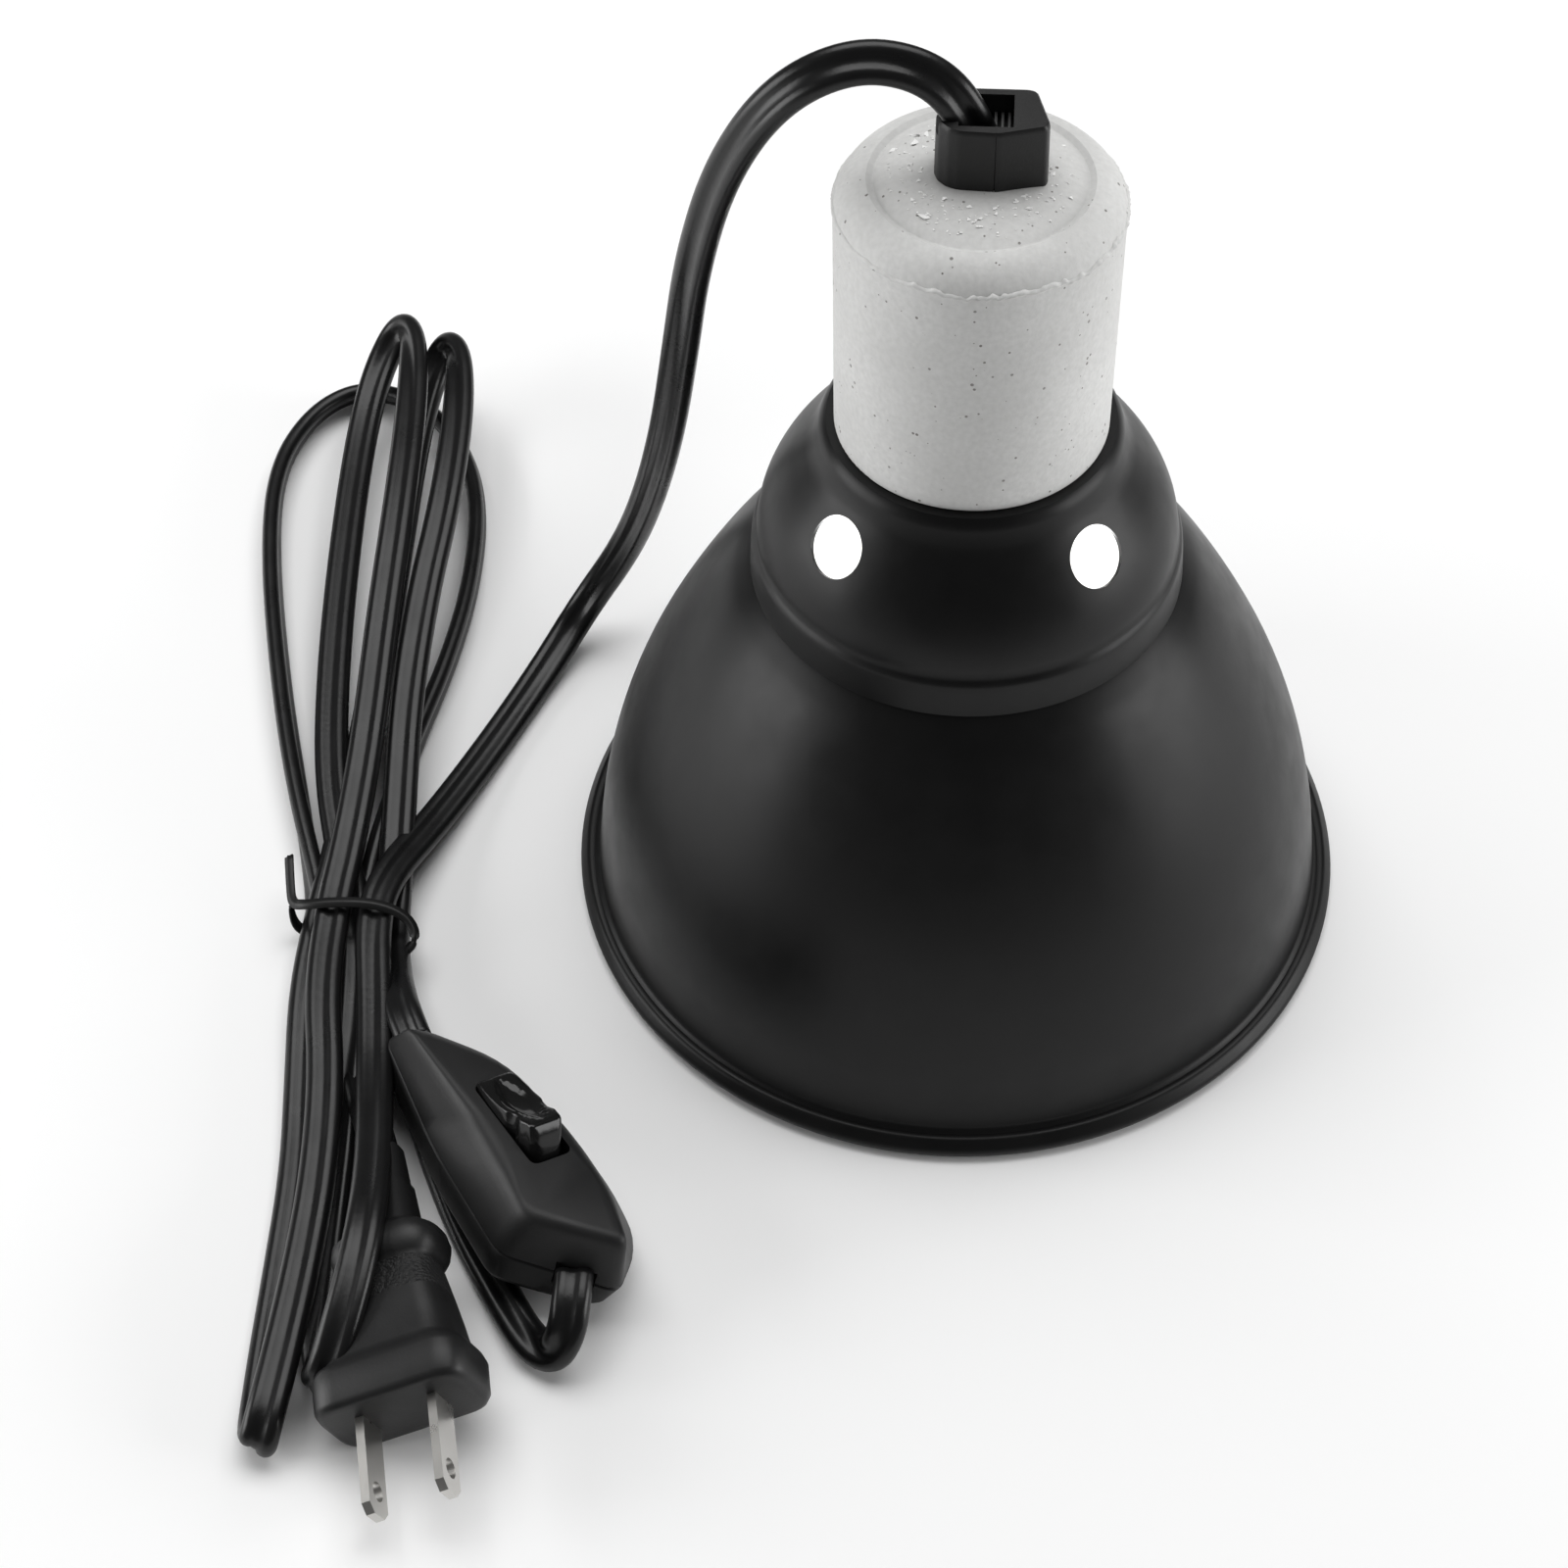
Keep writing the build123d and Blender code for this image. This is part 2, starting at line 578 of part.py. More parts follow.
with BuildPart() as switch_rocker:
    with BuildSketch(rocker_plane.offset(-ROCKER_WIDTH / 2)):
        with BuildLine():
            low = (ROCKER_RADIUS * cos(0.12), ROCKER_RADIUS * sin(0.12))
            middle = (ROCKER_RADIUS * cos(0.42), ROCKER_RADIUS * sin(0.42))
            ThreePointArc(low, middle, ROCKER_CORNER)
            ThreePointArc(ROCKER_CORNER, (0, 4.6), (-ROCKER_CORNER[0], ROCKER_CORNER[1]))
            ThreePointArc((-ROCKER_CORNER[0], ROCKER_CORNER[1]), (-middle[0], middle[1]), (-low[0], low[1]))
            Polyline(
                (-low[0], low[1]),
                (-6.6, 0.6),
                (-2.6, -1.6),
                (-2.4, -5.0),
                (2.4, -5.0),
                (2.6, -1.6),
                (6.6, 0.6),
                low,
            )
        make_face()
    extrude(amount=ROCKER_WIDTH)
    # Rounded ends, seen from above.
    rocker_top = Plane(origin=pivot_point, x_dir=rocker_along, z_dir=rocker_plane.y_dir)
    with BuildSketch(rocker_top.offset(-10)):
        RectangleRounded(19.0, ROCKER_WIDTH, 1.6)
    extrude(amount=20, mode=Mode.INTERSECT)
    with BuildSketch(rocker_plane.offset(-ROCKER_WIDTH)):
        Circle(PIN_RADIUS + 0.1)
    extrude(amount=2 * ROCKER_WIDTH, mode=Mode.SUBTRACT)
    with BuildSketch(rocker_top.offset(-10)):
        Circle(BORE)
    extrude(amount=8.4, mode=Mode.SUBTRACT)
finish(switch_rocker, "switch_rocker")

with BuildPart() as switch_pivot_pin:
    with BuildSketch(switch_side.offset(-6.6)):
        with Locations((ROCKER_CENTRE, PIVOT_HEIGHT)):
            Circle(PIN_RADIUS)
    extrude(amount=13.2)
finish(switch_pivot_pin, "switch_pivot_pin")

with BuildPart() as switch_plunger:
    with BuildSketch(rocker_top.offset(-5.9)):
        Circle(1.35)
    extrude(amount=2.0)
    with Locations(rocker_top.offset(-5.9).location):
        Sphere(1.35)
finish(switch_plunger, "switch_plunger")

with BuildPart() as switch_spring:
    with BuildLine(rocker_top.offset(-3.65)):
        coil = Helix(pitch=0.55, height=1.65, radius=1.1)
    with BuildSketch(Plane(origin=coil @ 0, z_dir=coil % 0)):
        Circle(0.18)
    sweep(is_frenet=True)
finish(switch_spring, "switch_spring")

ARM_PIVOT = 4.9
ARM_HALF = 7.0
arm_tilt = radians(-ARM_REST)
arm_along = tuple(a * cos(arm_tilt) + b * sin(arm_tilt) for a, b in zip(SWITCH_HEADING, upward))
arm_pivot_point = switch_plane.from_local_coords((ROCKER_CENTRE, 0, ARM_PIVOT))
arm_plane = Plane(origin=arm_pivot_point, x_dir=arm_along, z_dir=tuple(-c for c in across))

with BuildPart() as switch_contact_arm:
    with BuildSketch(arm_plane.offset(-2.2)):
        with Locations((0, 0.3)):
            Rectangle(2 * ARM_HALF, 0.6)
        with Locations((ARM_HALF - 1.3, -0.25)):
            Rectangle(2.2, 0.5)
        Circle(0.35, mode=Mode.SUBTRACT)
    extrude(amount=4.4)
finish(switch_contact_arm, "switch_contact_arm")

STRIP = 0.6


def contact_strip(u_low, u_high, v, width):
    """A flat brass strip on the floor of the lower cover."""
    with BuildPart() as strip:
        with BuildSketch(switch_plane.offset(CASE_WALL)):
            with Locations(((u_low + u_high) / 2, v)):
                Rectangle(u_high - u_low, width)
        extrude(amount=STRIP)
    return strip


with BuildPart() as switch_fulcrum:
    add(contact_strip(-22.6, 4.0, 0, 4.4).part)
    with BuildSketch(switch_side.offset(-2.2)):
        with BuildLine():
            Polyline(
                (ROCKER_CENTRE - 0.7, CASE_WALL),
                (ROCKER_CENTRE + 0.7, CASE_WALL),
                (ROCKER_CENTRE + 0.1, ARM_PIVOT - 0.1),
                (ROCKER_CENTRE - 0.1, ARM_PIVOT - 0.1),
                close=True,
            )
        make_face()
    extrude(amount=4.4)
finish(switch_fulcrum, "switch_fulcrum")

with BuildPart() as switch_fixed_contact:
    add(contact_strip(6.6, 22.4, 0, 4.4).part)
    with BuildSketch(switch_plane.offset(CASE_WALL + STRIP)):
        with Locations((ROCKER_CENTRE + ARM_HALF - 1.2, 0)):
            Circle(1.1)
    extrude(amount=1.0)
finish(switch_fixed_contact, "switch_fixed_contact")

switch_neutral_link = contact_strip(-17.0, 12.0, -3.6, 2.0)
finish(switch_neutral_link, "switch_neutral_link")

with BuildPart() as switch_terminal_screws:
    with BuildSketch(switch_plane.offset(CASE_WALL + STRIP)):
        with Locations((-20.6, 0), (20.4, 0), (-15.6, -3.6), (10.4, -3.6)):
            Circle(1.15)
    extrude(amount=1.2)
finish(switch_terminal_screws, "switch_terminal_screws")

# ---------------------------------------------------------------- plug
heading = radians(PLUG_HEADING)
pitch = radians(PLUG_PITCH)
lean = radians(PLUG_ROLL)
plug_forward = (cos(heading) * cos(pitch), sin(heading) * cos(pitch), -sin(pitch))
plug_side = (-sin(heading), cos(heading), 0.0)
plug_level_up = (cos(heading) * sin(pitch), sin(heading) * sin(pitch), cos(pitch))
plug_up = tuple(a * cos(lean) - b * sin(lean) for a, b in zip(plug_level_up, plug_side))
plug_plane = Plane(origin=PLUG_FACE, x_dir=plug_forward, z_dir=plug_up)
plug_face_plane = Plane(origin=PLUG_FACE, x_dir=plug_plane.y_dir, z_dir=plug_forward)

# Distance from the face, sideways offset, width, height and corner radius of each section, in groups that
# are lofted together. The neck bends a little to one side.
PLUG_FLANGE = [(0.0, 0.0, 25.8, 15.4, 4.6), (-1.4, 0.0, 27.0, 16.4, 5.2)]
PLUG_FLANGE += [(-7.0, 0.0, 27.0, 16.4, 5.2), (-8.6, 0.0, 24.6, 15.0, 5.0)]
PLUG_GRIP = [(-8.6, 0.0, 22.4, 14.0, 4.6), (-16.0, 0.2, 18.6, 13.2, 4.4), (-24.0, 0.3, 16.6, 12.4, 4.4)]
PLUG_COLLAR = [(-24.0, 0.3, 16.6, 12.4, 4.4), (-26.5, 0.3, 18.2, 13.2, 5.6)]
PLUG_COLLAR += [(-29.5, 0.2, 17.8, 12.8, 5.6), (-32.5, 0.2, 12.0, 9.6, 4.2)]
PLUG_NECK = [(-32.5, 0.2, 9.8, 7.6, 2.8), (-41.0, 0.0, 8.6, 6.2, 2.4), (-49.0, -0.2, 7.8, 5.2, 2.0)]
BLADE_ROOT = 7.0

with BuildPart() as plug_body:
    for group in (PLUG_FLANGE, PLUG_GRIP, PLUG_COLLAR, PLUG_NECK):
        for near, far in zip(group, group[1:]):
            for distance, sideways, width, height, corner in (near, far):
                with BuildSketch(plug_face_plane.offset(distance)):
                    with Locations((sideways, 0)):
                        RectangleRounded(width, height, corner)
            loft(ruled=True)
    # Pockets moulded round the roots of the blades.
    with BuildSketch(plug_face_plane.offset(-BLADE_ROOT)):
        with Locations((BLADE_PITCH / 2, 0), (-BLADE_PITCH / 2, 0)):
            Rectangle(1.5, 6.35)
    extrude(amount=BLADE_ROOT + 1, mode=Mode.SUBTRACT)
finish(plug_body, "plug_body")

with BuildPart() as plug_blades:
    with BuildSketch(plug_face_plane.offset(-BLADE_ROOT)):
        with Locations((BLADE_PITCH / 2, 0), (-BLADE_PITCH / 2, 0)):
            Rectangle(1.5, 6.35)
    extrude(amount=BLADE_ROOT + BLADE_LENGTH)
    tips = plug_blades.faces().sort_by(Axis(PLUG_FACE, plug_forward))[-2:]
    across_blade = Axis(PLUG_FACE, plug_plane.y_dir)
    chamfer([edge for tip in tips for edge in tip.edges().filter_by(across_blade)], 1.5)
    with BuildSketch(Plane(origin=plug_plane.from_local_coords((12.0, 0, 0)), z_dir=plug_plane.y_dir)):
        Circle(1.7)
    extrude(amount=12, both=True, mode=Mode.SUBTRACT)
finish(plug_blades, "plug_blades")

# ---------------------------------------------------------------- cord routes


def cord_tube(name, points):
    """A tube along straight runs joined by the largest arcs that the runs allow."""
    route = [Vector(*p) for p in points]
    radii = []
    for before, corner, after in zip(route, route[1:], route[2:]):
        turn = radians((corner - before).get_angle(after - corner))
        shorter = min((corner - before).length, (after - corner).length)
        radii.append(0.45 * shorter / tan(turn / 2))
    with BuildPart() as tube:
        with BuildLine() as path:
            FilletPolyline(*points, radius=radii)
        with BuildSketch(Plane(origin=path.line @ 0, z_dir=path.line % 0)):
            Circle(CORD_TUBE / 2)
        sweep()
    length = path.wires()[0].length
    section = pi * CORD_TUBE**2 / 4
    print(name, "radii", [round(r, 1) for r in radii], "length", round(length, 1))
    print(name, "volume", round(tube.part.volume), "section times length", round(section * length))
    finish(tube, name)
    return tube


# From the strain relief over the top of the lampholder, down its left side and along the floor to the hank.
LEAD_ROUTE = [
    (-0.2, 0.0, 163.4),
    (-2.6, -0.6, 171.0),
    (-9.0, 0.4, 176.8),
    (-19.0, -0.4, 178.8),
    (-30.0, -0.6, 172.4),
    (-38.8, 3.4, 155.6),
    (-44.8, 10.0, 132.0),
    (-48.8, 18.4, 105.0),
    (-53.2, 29.0, 77.0),
    (-59.4, 42.6, 47.0),
    (-66.2, 52.6, 23.0),
    (-75.2, 52.2, 7.0),
    (-82.0, 38.6, FLOOR_Z),
    (-90.2, 17.6, FLOOR_Z),
    (-98.2, -3.4, 4.2),
    (-103.2, -17.0, 7.4),
]
cord_lead = cord_tube("cord_lead", LEAD_ROUTE)

# Out of the switch's near tip, folded under it and back to the hank along the floor.
SWITCH_LOOP_ROUTE = [
    (-59.3, -104.7, 12.6),
    (-59.2, -109.6, 12.2),
    (-60.0, -114.0, 8.8),
    (-62.2, -115.4, 4.4),
    (-66.4, -111.8, FLOOR_Z),
    (-72.5, -102.6, FLOOR_Z),
    (-81.8, -87.0, FLOOR_Z),
    (-91.0, -66.6, FLOOR_Z),
    (-98.4, -47.6, FLOOR_Z),
    (-102.4, -38.4, FLOOR_Z),
]
cord_switch_loop = cord_tube("cord_switch_loop", SWITCH_LOOP_ROUTE)

# From the hank into the switch's far tip.
SWITCH_INLET_ROUTE = [(-100.6, -36.5, 6.0), (-99.2, -41.4, 8.0), (-97.2, -47.4, 10.2), (-94.7, -53.5, 11.4)]
cord_switch_inlet = cord_tube("cord_switch_inlet", SWITCH_INLET_ROUTE)

# From the hank into the plug's neck.
PLUG_TAIL_ROUTE = [(-103.2, -60.0, 4.0), (-101.0, -66.0, 5.8), (-98.2, -73.0, 9.8), (-95.0, -81.4, 12.5)]
cord_plug_tail = cord_tube("cord_plug_tail", PLUG_TAIL_ROUTE)

# ---------------------------------------------------------------- hank and its tie
TIE_Y = -28.0
TIE_LENGTH = 3.2
BUNDLE_X = -109.7
BUNDLE_WIDTH = 18.8
BUNDLE_HEIGHT = 9.6
BUNDLE_Z = 5.7
TIE_STRIP = 0.8

TEARDROP = [
    (-119.0, -32.0),
    (-121.6, -16.0),
    (-128.4, 6.0),
    (-136.0, 34.0),
    (-144.4, 68.0),
    (-147.0, 88.0),
    (-144.0, 104.0),
    (-130.0, 117.4),
    (-113.0, 110.0),
    (-101.0, 90.0),
    (-97.2, 66.0),
    (-98.4, 38.0),
    (-103.2, 6.0),
    (-100.4, -32.0),
]
FOLDS_ABOVE = [(-119.0, -22.0), (-127.6, 16.0), (-130.2, 70.0), (-129.6, 108.0), (-124.0, 126.0)]
FOLDS_ABOVE += [(-111.0, 128.0), (-101.0, 112.0), (-99.8, 84.0), (-102.2, 24.0), (-100.4, -22.0)]
RISE_ABOVE = [(-22.0, 1.0), (-22.0, 11.2), (12.0, 15.0), (60.0, 23.0), (92.0, 25.4)]
RISE_ABOVE += [(120.0, 25.4), (128.5, 20.0), (128.5, 7.2), (100.0, 5.0)]
FOLDS_BELOW = [(-119.0, -31.0), (-118.8, -50.0), (-117.0, -64.0), (-114.4, -84.0), (-114.0, -120.0)]
FOLDS_BELOW += [(-111.6, -136.6), (-103.6, -138.0), (-98.2, -130.6), (-91.6, -114.0), (-90.6, -100.0)]
FOLDS_BELOW += [(-92.8, -80.0), (-96.0, -64.0), (-97.6, -50.0), (-100.4, -31.0)]
RISE_BELOW = [(-31.0, 0.0), (-31.0, 11.2), (-64.0, 12.0), (-82.0, 18.0), (-96.0, 22.4), (-110.0, 21.8)]
RISE_BELOW += [(-128.0, 15.0), (-139.0, 11.0), (-139.0, 0.0)]


def outlined_block(plan, rise):
    """A block with this outline seen from above and this outline, as (y, z), seen from the side."""
    with BuildPart() as block:
        with BuildSketch(Plane.XY):
            with BuildLine():
                Polyline(*plan, close=True)
            make_face()
        extrude(amount=40)
        with BuildSketch(Plane.YZ.offset(-160)):
            with BuildLine():
                Polyline(*rise, close=True)
            make_face()
        extrude(amount=100, mode=Mode.INTERSECT)
    return block


folds_above = outlined_block(FOLDS_ABOVE, RISE_ABOVE)
folds_below = outlined_block(FOLDS_BELOW, RISE_BELOW)
PLUG_ROOM_LEFT = [(1.5, -14.4), (-9.4, -14.4), (-20.0, -10.4), (-33.6, -10.0), (-34.0, -6.0), (-54.0, -5.0)]
PLUG_ROOM_RIGHT = [(-54.0, 20.0), (1.5, 20.0)]

with BuildPart() as cord_hank:
    with BuildSketch(Plane.XY):
        with BuildLine():
            Polyline(*TEARDROP, close=True)
        make_face()
    extrude(amount=6.8)
    add(folds_above.part)
    add(folds_below.part)
    # Under the tie the strands are drawn into one rounded bundle.
    with BuildSketch(Plane.XZ.offset(-TIE_Y - 3)):
        with Locations((BUNDLE_X, 10)):
            Rectangle(60, 40)
    extrude(amount=6, mode=Mode.SUBTRACT)
    with BuildSketch(Plane.XZ.offset(-TIE_Y - 6)):
        with Locations((BUNDLE_X, BUNDLE_Z)):
            RectangleRounded(BUNDLE_WIDTH, BUNDLE_HEIGHT, 3.6)
    extrude(amount=12)
    # Room for the plug, and for the switch casing.
    with BuildSketch(plug_plane.offset(-16)):
        with BuildLine():
            Polyline(*PLUG_ROOM_LEFT, *PLUG_ROOM_RIGHT, close=True)
        make_face()
    extrude(amount=24.6, mode=Mode.SUBTRACT)
    with BuildSketch(switch_plane.offset(-6)):
        with BuildLine():
            Polyline(*casing_outline(1.03, 1.06), close=True)
        make_face()
    extrude(amount=26, mode=Mode.SUBTRACT)
finish(cord_hank, "cord_hank")

with BuildPart() as twist_tie:
    with BuildSketch(Plane.XZ.offset(-TIE_Y - TIE_LENGTH / 2)):
        with Locations((BUNDLE_X, BUNDLE_Z)):
            RectangleRounded(BUNDLE_WIDTH + 2 * TIE_STRIP, BUNDLE_HEIGHT + 2 * TIE_STRIP, 3.6 + TIE_STRIP)
            RectangleRounded(BUNDLE_WIDTH + 0.1, BUNDLE_HEIGHT + 0.1, 3.6, mode=Mode.SUBTRACT)
        with Locations((BUNDLE_X + BUNDLE_WIDTH / 2 + 2.6, BUNDLE_Z)):
            Circle(2.6)
            Circle(1.8, mode=Mode.SUBTRACT)
    extrude(amount=TIE_LENGTH)
    # The free end stands off to the left and back.
    with BuildSketch(Plane.XY.offset(BUNDLE_Z + 1.4)):
        with BuildLine():
            Polyline(
                (-118.9, -28.0),
                (-119.9, -22.4),
                (-122.2, -17.4),
                (-123.0, -17.8),
                (-121.0, -22.4),
                (-120.0, -28.0),
                close=True,
            )
        make_face()
    extrude(amount=TIE_LENGTH)
finish(twist_tie, "twist_tie")
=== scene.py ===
import json
import random
from math import cos, pi, radians, sin

import bmesh
import bpy
from mathutils import Matrix, Vector, noise


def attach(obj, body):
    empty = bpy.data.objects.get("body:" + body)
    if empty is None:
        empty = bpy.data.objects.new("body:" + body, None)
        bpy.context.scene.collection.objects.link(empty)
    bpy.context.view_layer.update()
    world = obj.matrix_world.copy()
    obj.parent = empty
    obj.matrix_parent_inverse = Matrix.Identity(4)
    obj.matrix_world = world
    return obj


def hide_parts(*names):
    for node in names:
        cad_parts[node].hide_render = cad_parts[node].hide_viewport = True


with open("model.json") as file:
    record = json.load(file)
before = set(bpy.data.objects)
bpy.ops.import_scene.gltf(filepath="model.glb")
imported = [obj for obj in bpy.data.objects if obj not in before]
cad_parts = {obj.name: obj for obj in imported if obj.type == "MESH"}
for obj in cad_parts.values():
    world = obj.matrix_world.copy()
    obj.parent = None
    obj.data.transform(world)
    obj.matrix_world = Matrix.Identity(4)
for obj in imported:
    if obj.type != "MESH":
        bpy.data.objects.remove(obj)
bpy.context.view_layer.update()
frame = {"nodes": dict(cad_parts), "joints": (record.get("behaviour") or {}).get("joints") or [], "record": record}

# The heat lamp's looks: camera and light, two flat cords at full length, then each visible shape and the
# materials. Metres, in the frame's own axes: origin in the middle of the rim on the floor, +Z up.

MM = 0.001

# ---------------------------------------------------------------- camera, floor and light
# The camera's turns are in radians: to the side, down, and about its own axis.
CAMERA_PLACE = (0.0, -0.3539, 0.4393)
CAMERA_YAW = -0.0895
CAMERA_PITCH = 0.8721
CAMERA_ROLL = -0.0277
CAMERA_LENS = 68.66
FLOOR_REACH = 4.0
FLOOR_COLOR = (0.93, 0.93, 0.93, 1)


def add_camera():
    """A camera that looks down on the lamp from the front."""
    forward = Vector(
        (
            sin(CAMERA_YAW) * cos(CAMERA_PITCH),
            cos(CAMERA_YAW) * cos(CAMERA_PITCH),
            -sin(CAMERA_PITCH),
        )
    )
    level_right = Vector((cos(CAMERA_YAW), -sin(CAMERA_YAW), 0))
    level_up = level_right.cross(forward)
    right = cos(CAMERA_ROLL) * level_right + sin(CAMERA_ROLL) * level_up
    up = -sin(CAMERA_ROLL) * level_right + cos(CAMERA_ROLL) * level_up
    camera = bpy.data.objects.new("camera", bpy.data.cameras.new("camera"))
    camera.data.lens = CAMERA_LENS
    camera.data.sensor_width = 36.0
    turn = Matrix((right, up, -forward)).transposed().to_4x4()
    camera.matrix_world = Matrix.Translation(CAMERA_PLACE) @ turn
    bpy.context.collection.objects.link(camera)
    bpy.context.scene.camera = camera


def add_softbox(name, place, target, size, power):
    """A soft rectangular light at place, facing target."""
    light = bpy.data.lights.new(name, "AREA")
    light.shape = "RECTANGLE"
    light.size, light.size_y = size
    light.energy = power
    holder = bpy.data.objects.new(name, light)
    holder.location = place
    holder.rotation_euler = (Vector(target) - Vector(place)).to_track_quat("-Z", "Y").to_euler()
    bpy.context.collection.objects.link(holder)


def add_studio():
    """A plain pale floor, a dim even surround, and soft light from both sides and above."""
    floor_mesh = bpy.data.meshes.new("floor")
    corners = [(x * FLOOR_REACH, y * FLOOR_REACH, 0) for x, y in ((-1, -1), (1, -1), (1, 1), (-1, 1))]
    floor_mesh.from_pydata(corners, [], [(0, 1, 2, 3)])
    floor = bpy.data.objects.new("floor", floor_mesh)
    bpy.context.collection.objects.link(floor)
    paper = bpy.data.materials.new("floor_paper")
    paper.use_nodes = True
    shader = paper.node_tree.nodes["Principled BSDF"]
    shader.inputs["Base Color"].default_value = FLOOR_COLOR
    shader.inputs["Roughness"].default_value = 0.9
    floor_mesh.materials.append(paper)
    world = bpy.data.worlds.new("studio")
    world.use_nodes = True
    world.node_tree.nodes["Background"].inputs["Color"].default_value = (1, 1, 1, 1)
    world.node_tree.nodes["Background"].inputs["Strength"].default_value = 0.1
    bpy.context.scene.world = world
    bpy.context.scene.view_settings.view_transform = "Standard"
    add_softbox("softbox_left", (-0.7, -0.12, 0.22), (0, 0, 0.05), (0.5, 0.4), 3.2)
    add_softbox("softbox_right", (0.7, -0.08, 0.22), (0, 0, 0.05), (0.5, 0.4), 3.2)
    add_softbox("softbox_top", (0, 0.4, 1.2), (0, 0.1, 0), (1.5, 0.9), 15)
    # A small light on the floor inside the dome shows white through the vent holes.
    add_softbox("table_light", (0, 0, 0.004), (0, 0, 1), (0.085, 0.085), 0.25)


# ---------------------------------------------------------------- cords
CORD_WIDTH = 0.0066
CORD_THICKNESS = 0.0033
SAMPLES_PER_RUN = 10

# Control points from the strain relief over the top and down to the floor, along the hank's three tied
# runs with a fold at each end, and into the far tip of the switch.
LAMP_CORD = [
    (-0.0002, 0.0000, 0.1634),
    (-0.0026, -0.0006, 0.1710),
    (-0.0090, 0.0004, 0.1768),
    (-0.0190, -0.0004, 0.1788),
    (-0.0300, -0.0006, 0.1724),
    (-0.0388, 0.0034, 0.1556),
    (-0.0448, 0.0100, 0.1320),
    (-0.0488, 0.0184, 0.1050),
    (-0.0532, 0.0290, 0.0770),
    (-0.0594, 0.0426, 0.0470),
    (-0.0662, 0.0526, 0.0230),
    (-0.0752, 0.0522, 0.0070),
    (-0.0820, 0.0386, 0.0022),
    (-0.0902, 0.0176, 0.0020),
    (-0.0982, -0.0034, 0.0042),
    (-0.1040, -0.0190, 0.0082),
    (-0.1048, -0.0300, 0.0088),
    (-0.1015, -0.0480, 0.0088),
    (-0.0986, -0.0660, 0.0096),
    (-0.0952, -0.0840, 0.0150),
    (-0.0934, -0.1000, 0.0200),
    (-0.0942, -0.1120, 0.0186),
    (-0.0960, -0.1216, 0.0150),
    (-0.0984, -0.1250, 0.0092),
    (-0.1006, -0.1200, 0.0044),
    (-0.1024, -0.1080, 0.0022),
    (-0.1034, -0.0930, 0.0020),
    (-0.1042, -0.0750, 0.0032),
    (-0.1054, -0.0520, 0.0046),
    (-0.1080, -0.0300, 0.0050),
    (-0.1136, -0.0120, 0.0050),
    (-0.1194, 0.0080, 0.0056),
    (-0.1234, 0.0380, 0.0066),
    (-0.1260, 0.0720, 0.0080),
    (-0.1270, 0.0980, 0.0092),
    (-0.1258, 0.1130, 0.0120),
    (-0.1216, 0.1210, 0.0176),
    (-0.1172, 0.1146, 0.0216),
    (-0.1142, 0.0920, 0.0218),
    (-0.1129, 0.0640, 0.0204),
    (-0.1126, 0.0380, 0.0164),
    (-0.1116, 0.0100, 0.0124),
    (-0.1118, -0.0120, 0.0096),
    (-0.1125, -0.0280, 0.0086),
    (-0.1114, -0.0460, 0.0088),
    (-0.1076, -0.0640, 0.0084),
    (-0.1056, -0.0840, 0.0082),
    (-0.1054, -0.1020, 0.0082),
    (-0.1058, -0.1180, 0.0086),
    (-0.1066, -0.1302, 0.0082),
    (-0.1078, -0.1338, 0.0044),
    (-0.1090, -0.1270, 0.0021),
    (-0.1096, -0.1150, 0.0020),
    (-0.1100, -0.1000, 0.0020),
    (-0.1107, -0.0800, 0.0020),
    (-0.1130, -0.0620, 0.0024),
    (-0.1152, -0.0440, 0.0044),
    (-0.1152, -0.0280, 0.0050),
    (-0.1144, -0.0080, 0.0046),
    (-0.1140, 0.0220, 0.0046),
    (-0.1150, 0.0600, 0.0060),
    (-0.1156, 0.0900, 0.0086),
    (-0.1148, 0.1070, 0.0116),
    (-0.1112, 0.1160, 0.0172),
    (-0.1070, 0.1100, 0.0214),
    (-0.1044, 0.0900, 0.0212),
    (-0.1042, 0.0660, 0.0192),
    (-0.1058, 0.0460, 0.0156),
    (-0.1060, 0.0220, 0.0116),
    (-0.1046, 0.0020, 0.0080),
    (-0.1030, -0.0180, 0.0046),
    (-0.1018, -0.0300, 0.0044),
    (-0.0996, -0.0400, 0.0066),
    (-0.0972, -0.0474, 0.0096),
    (-0.0949, -0.0532, 0.0113),
    (-0.0926, -0.0578, 0.0111),
]
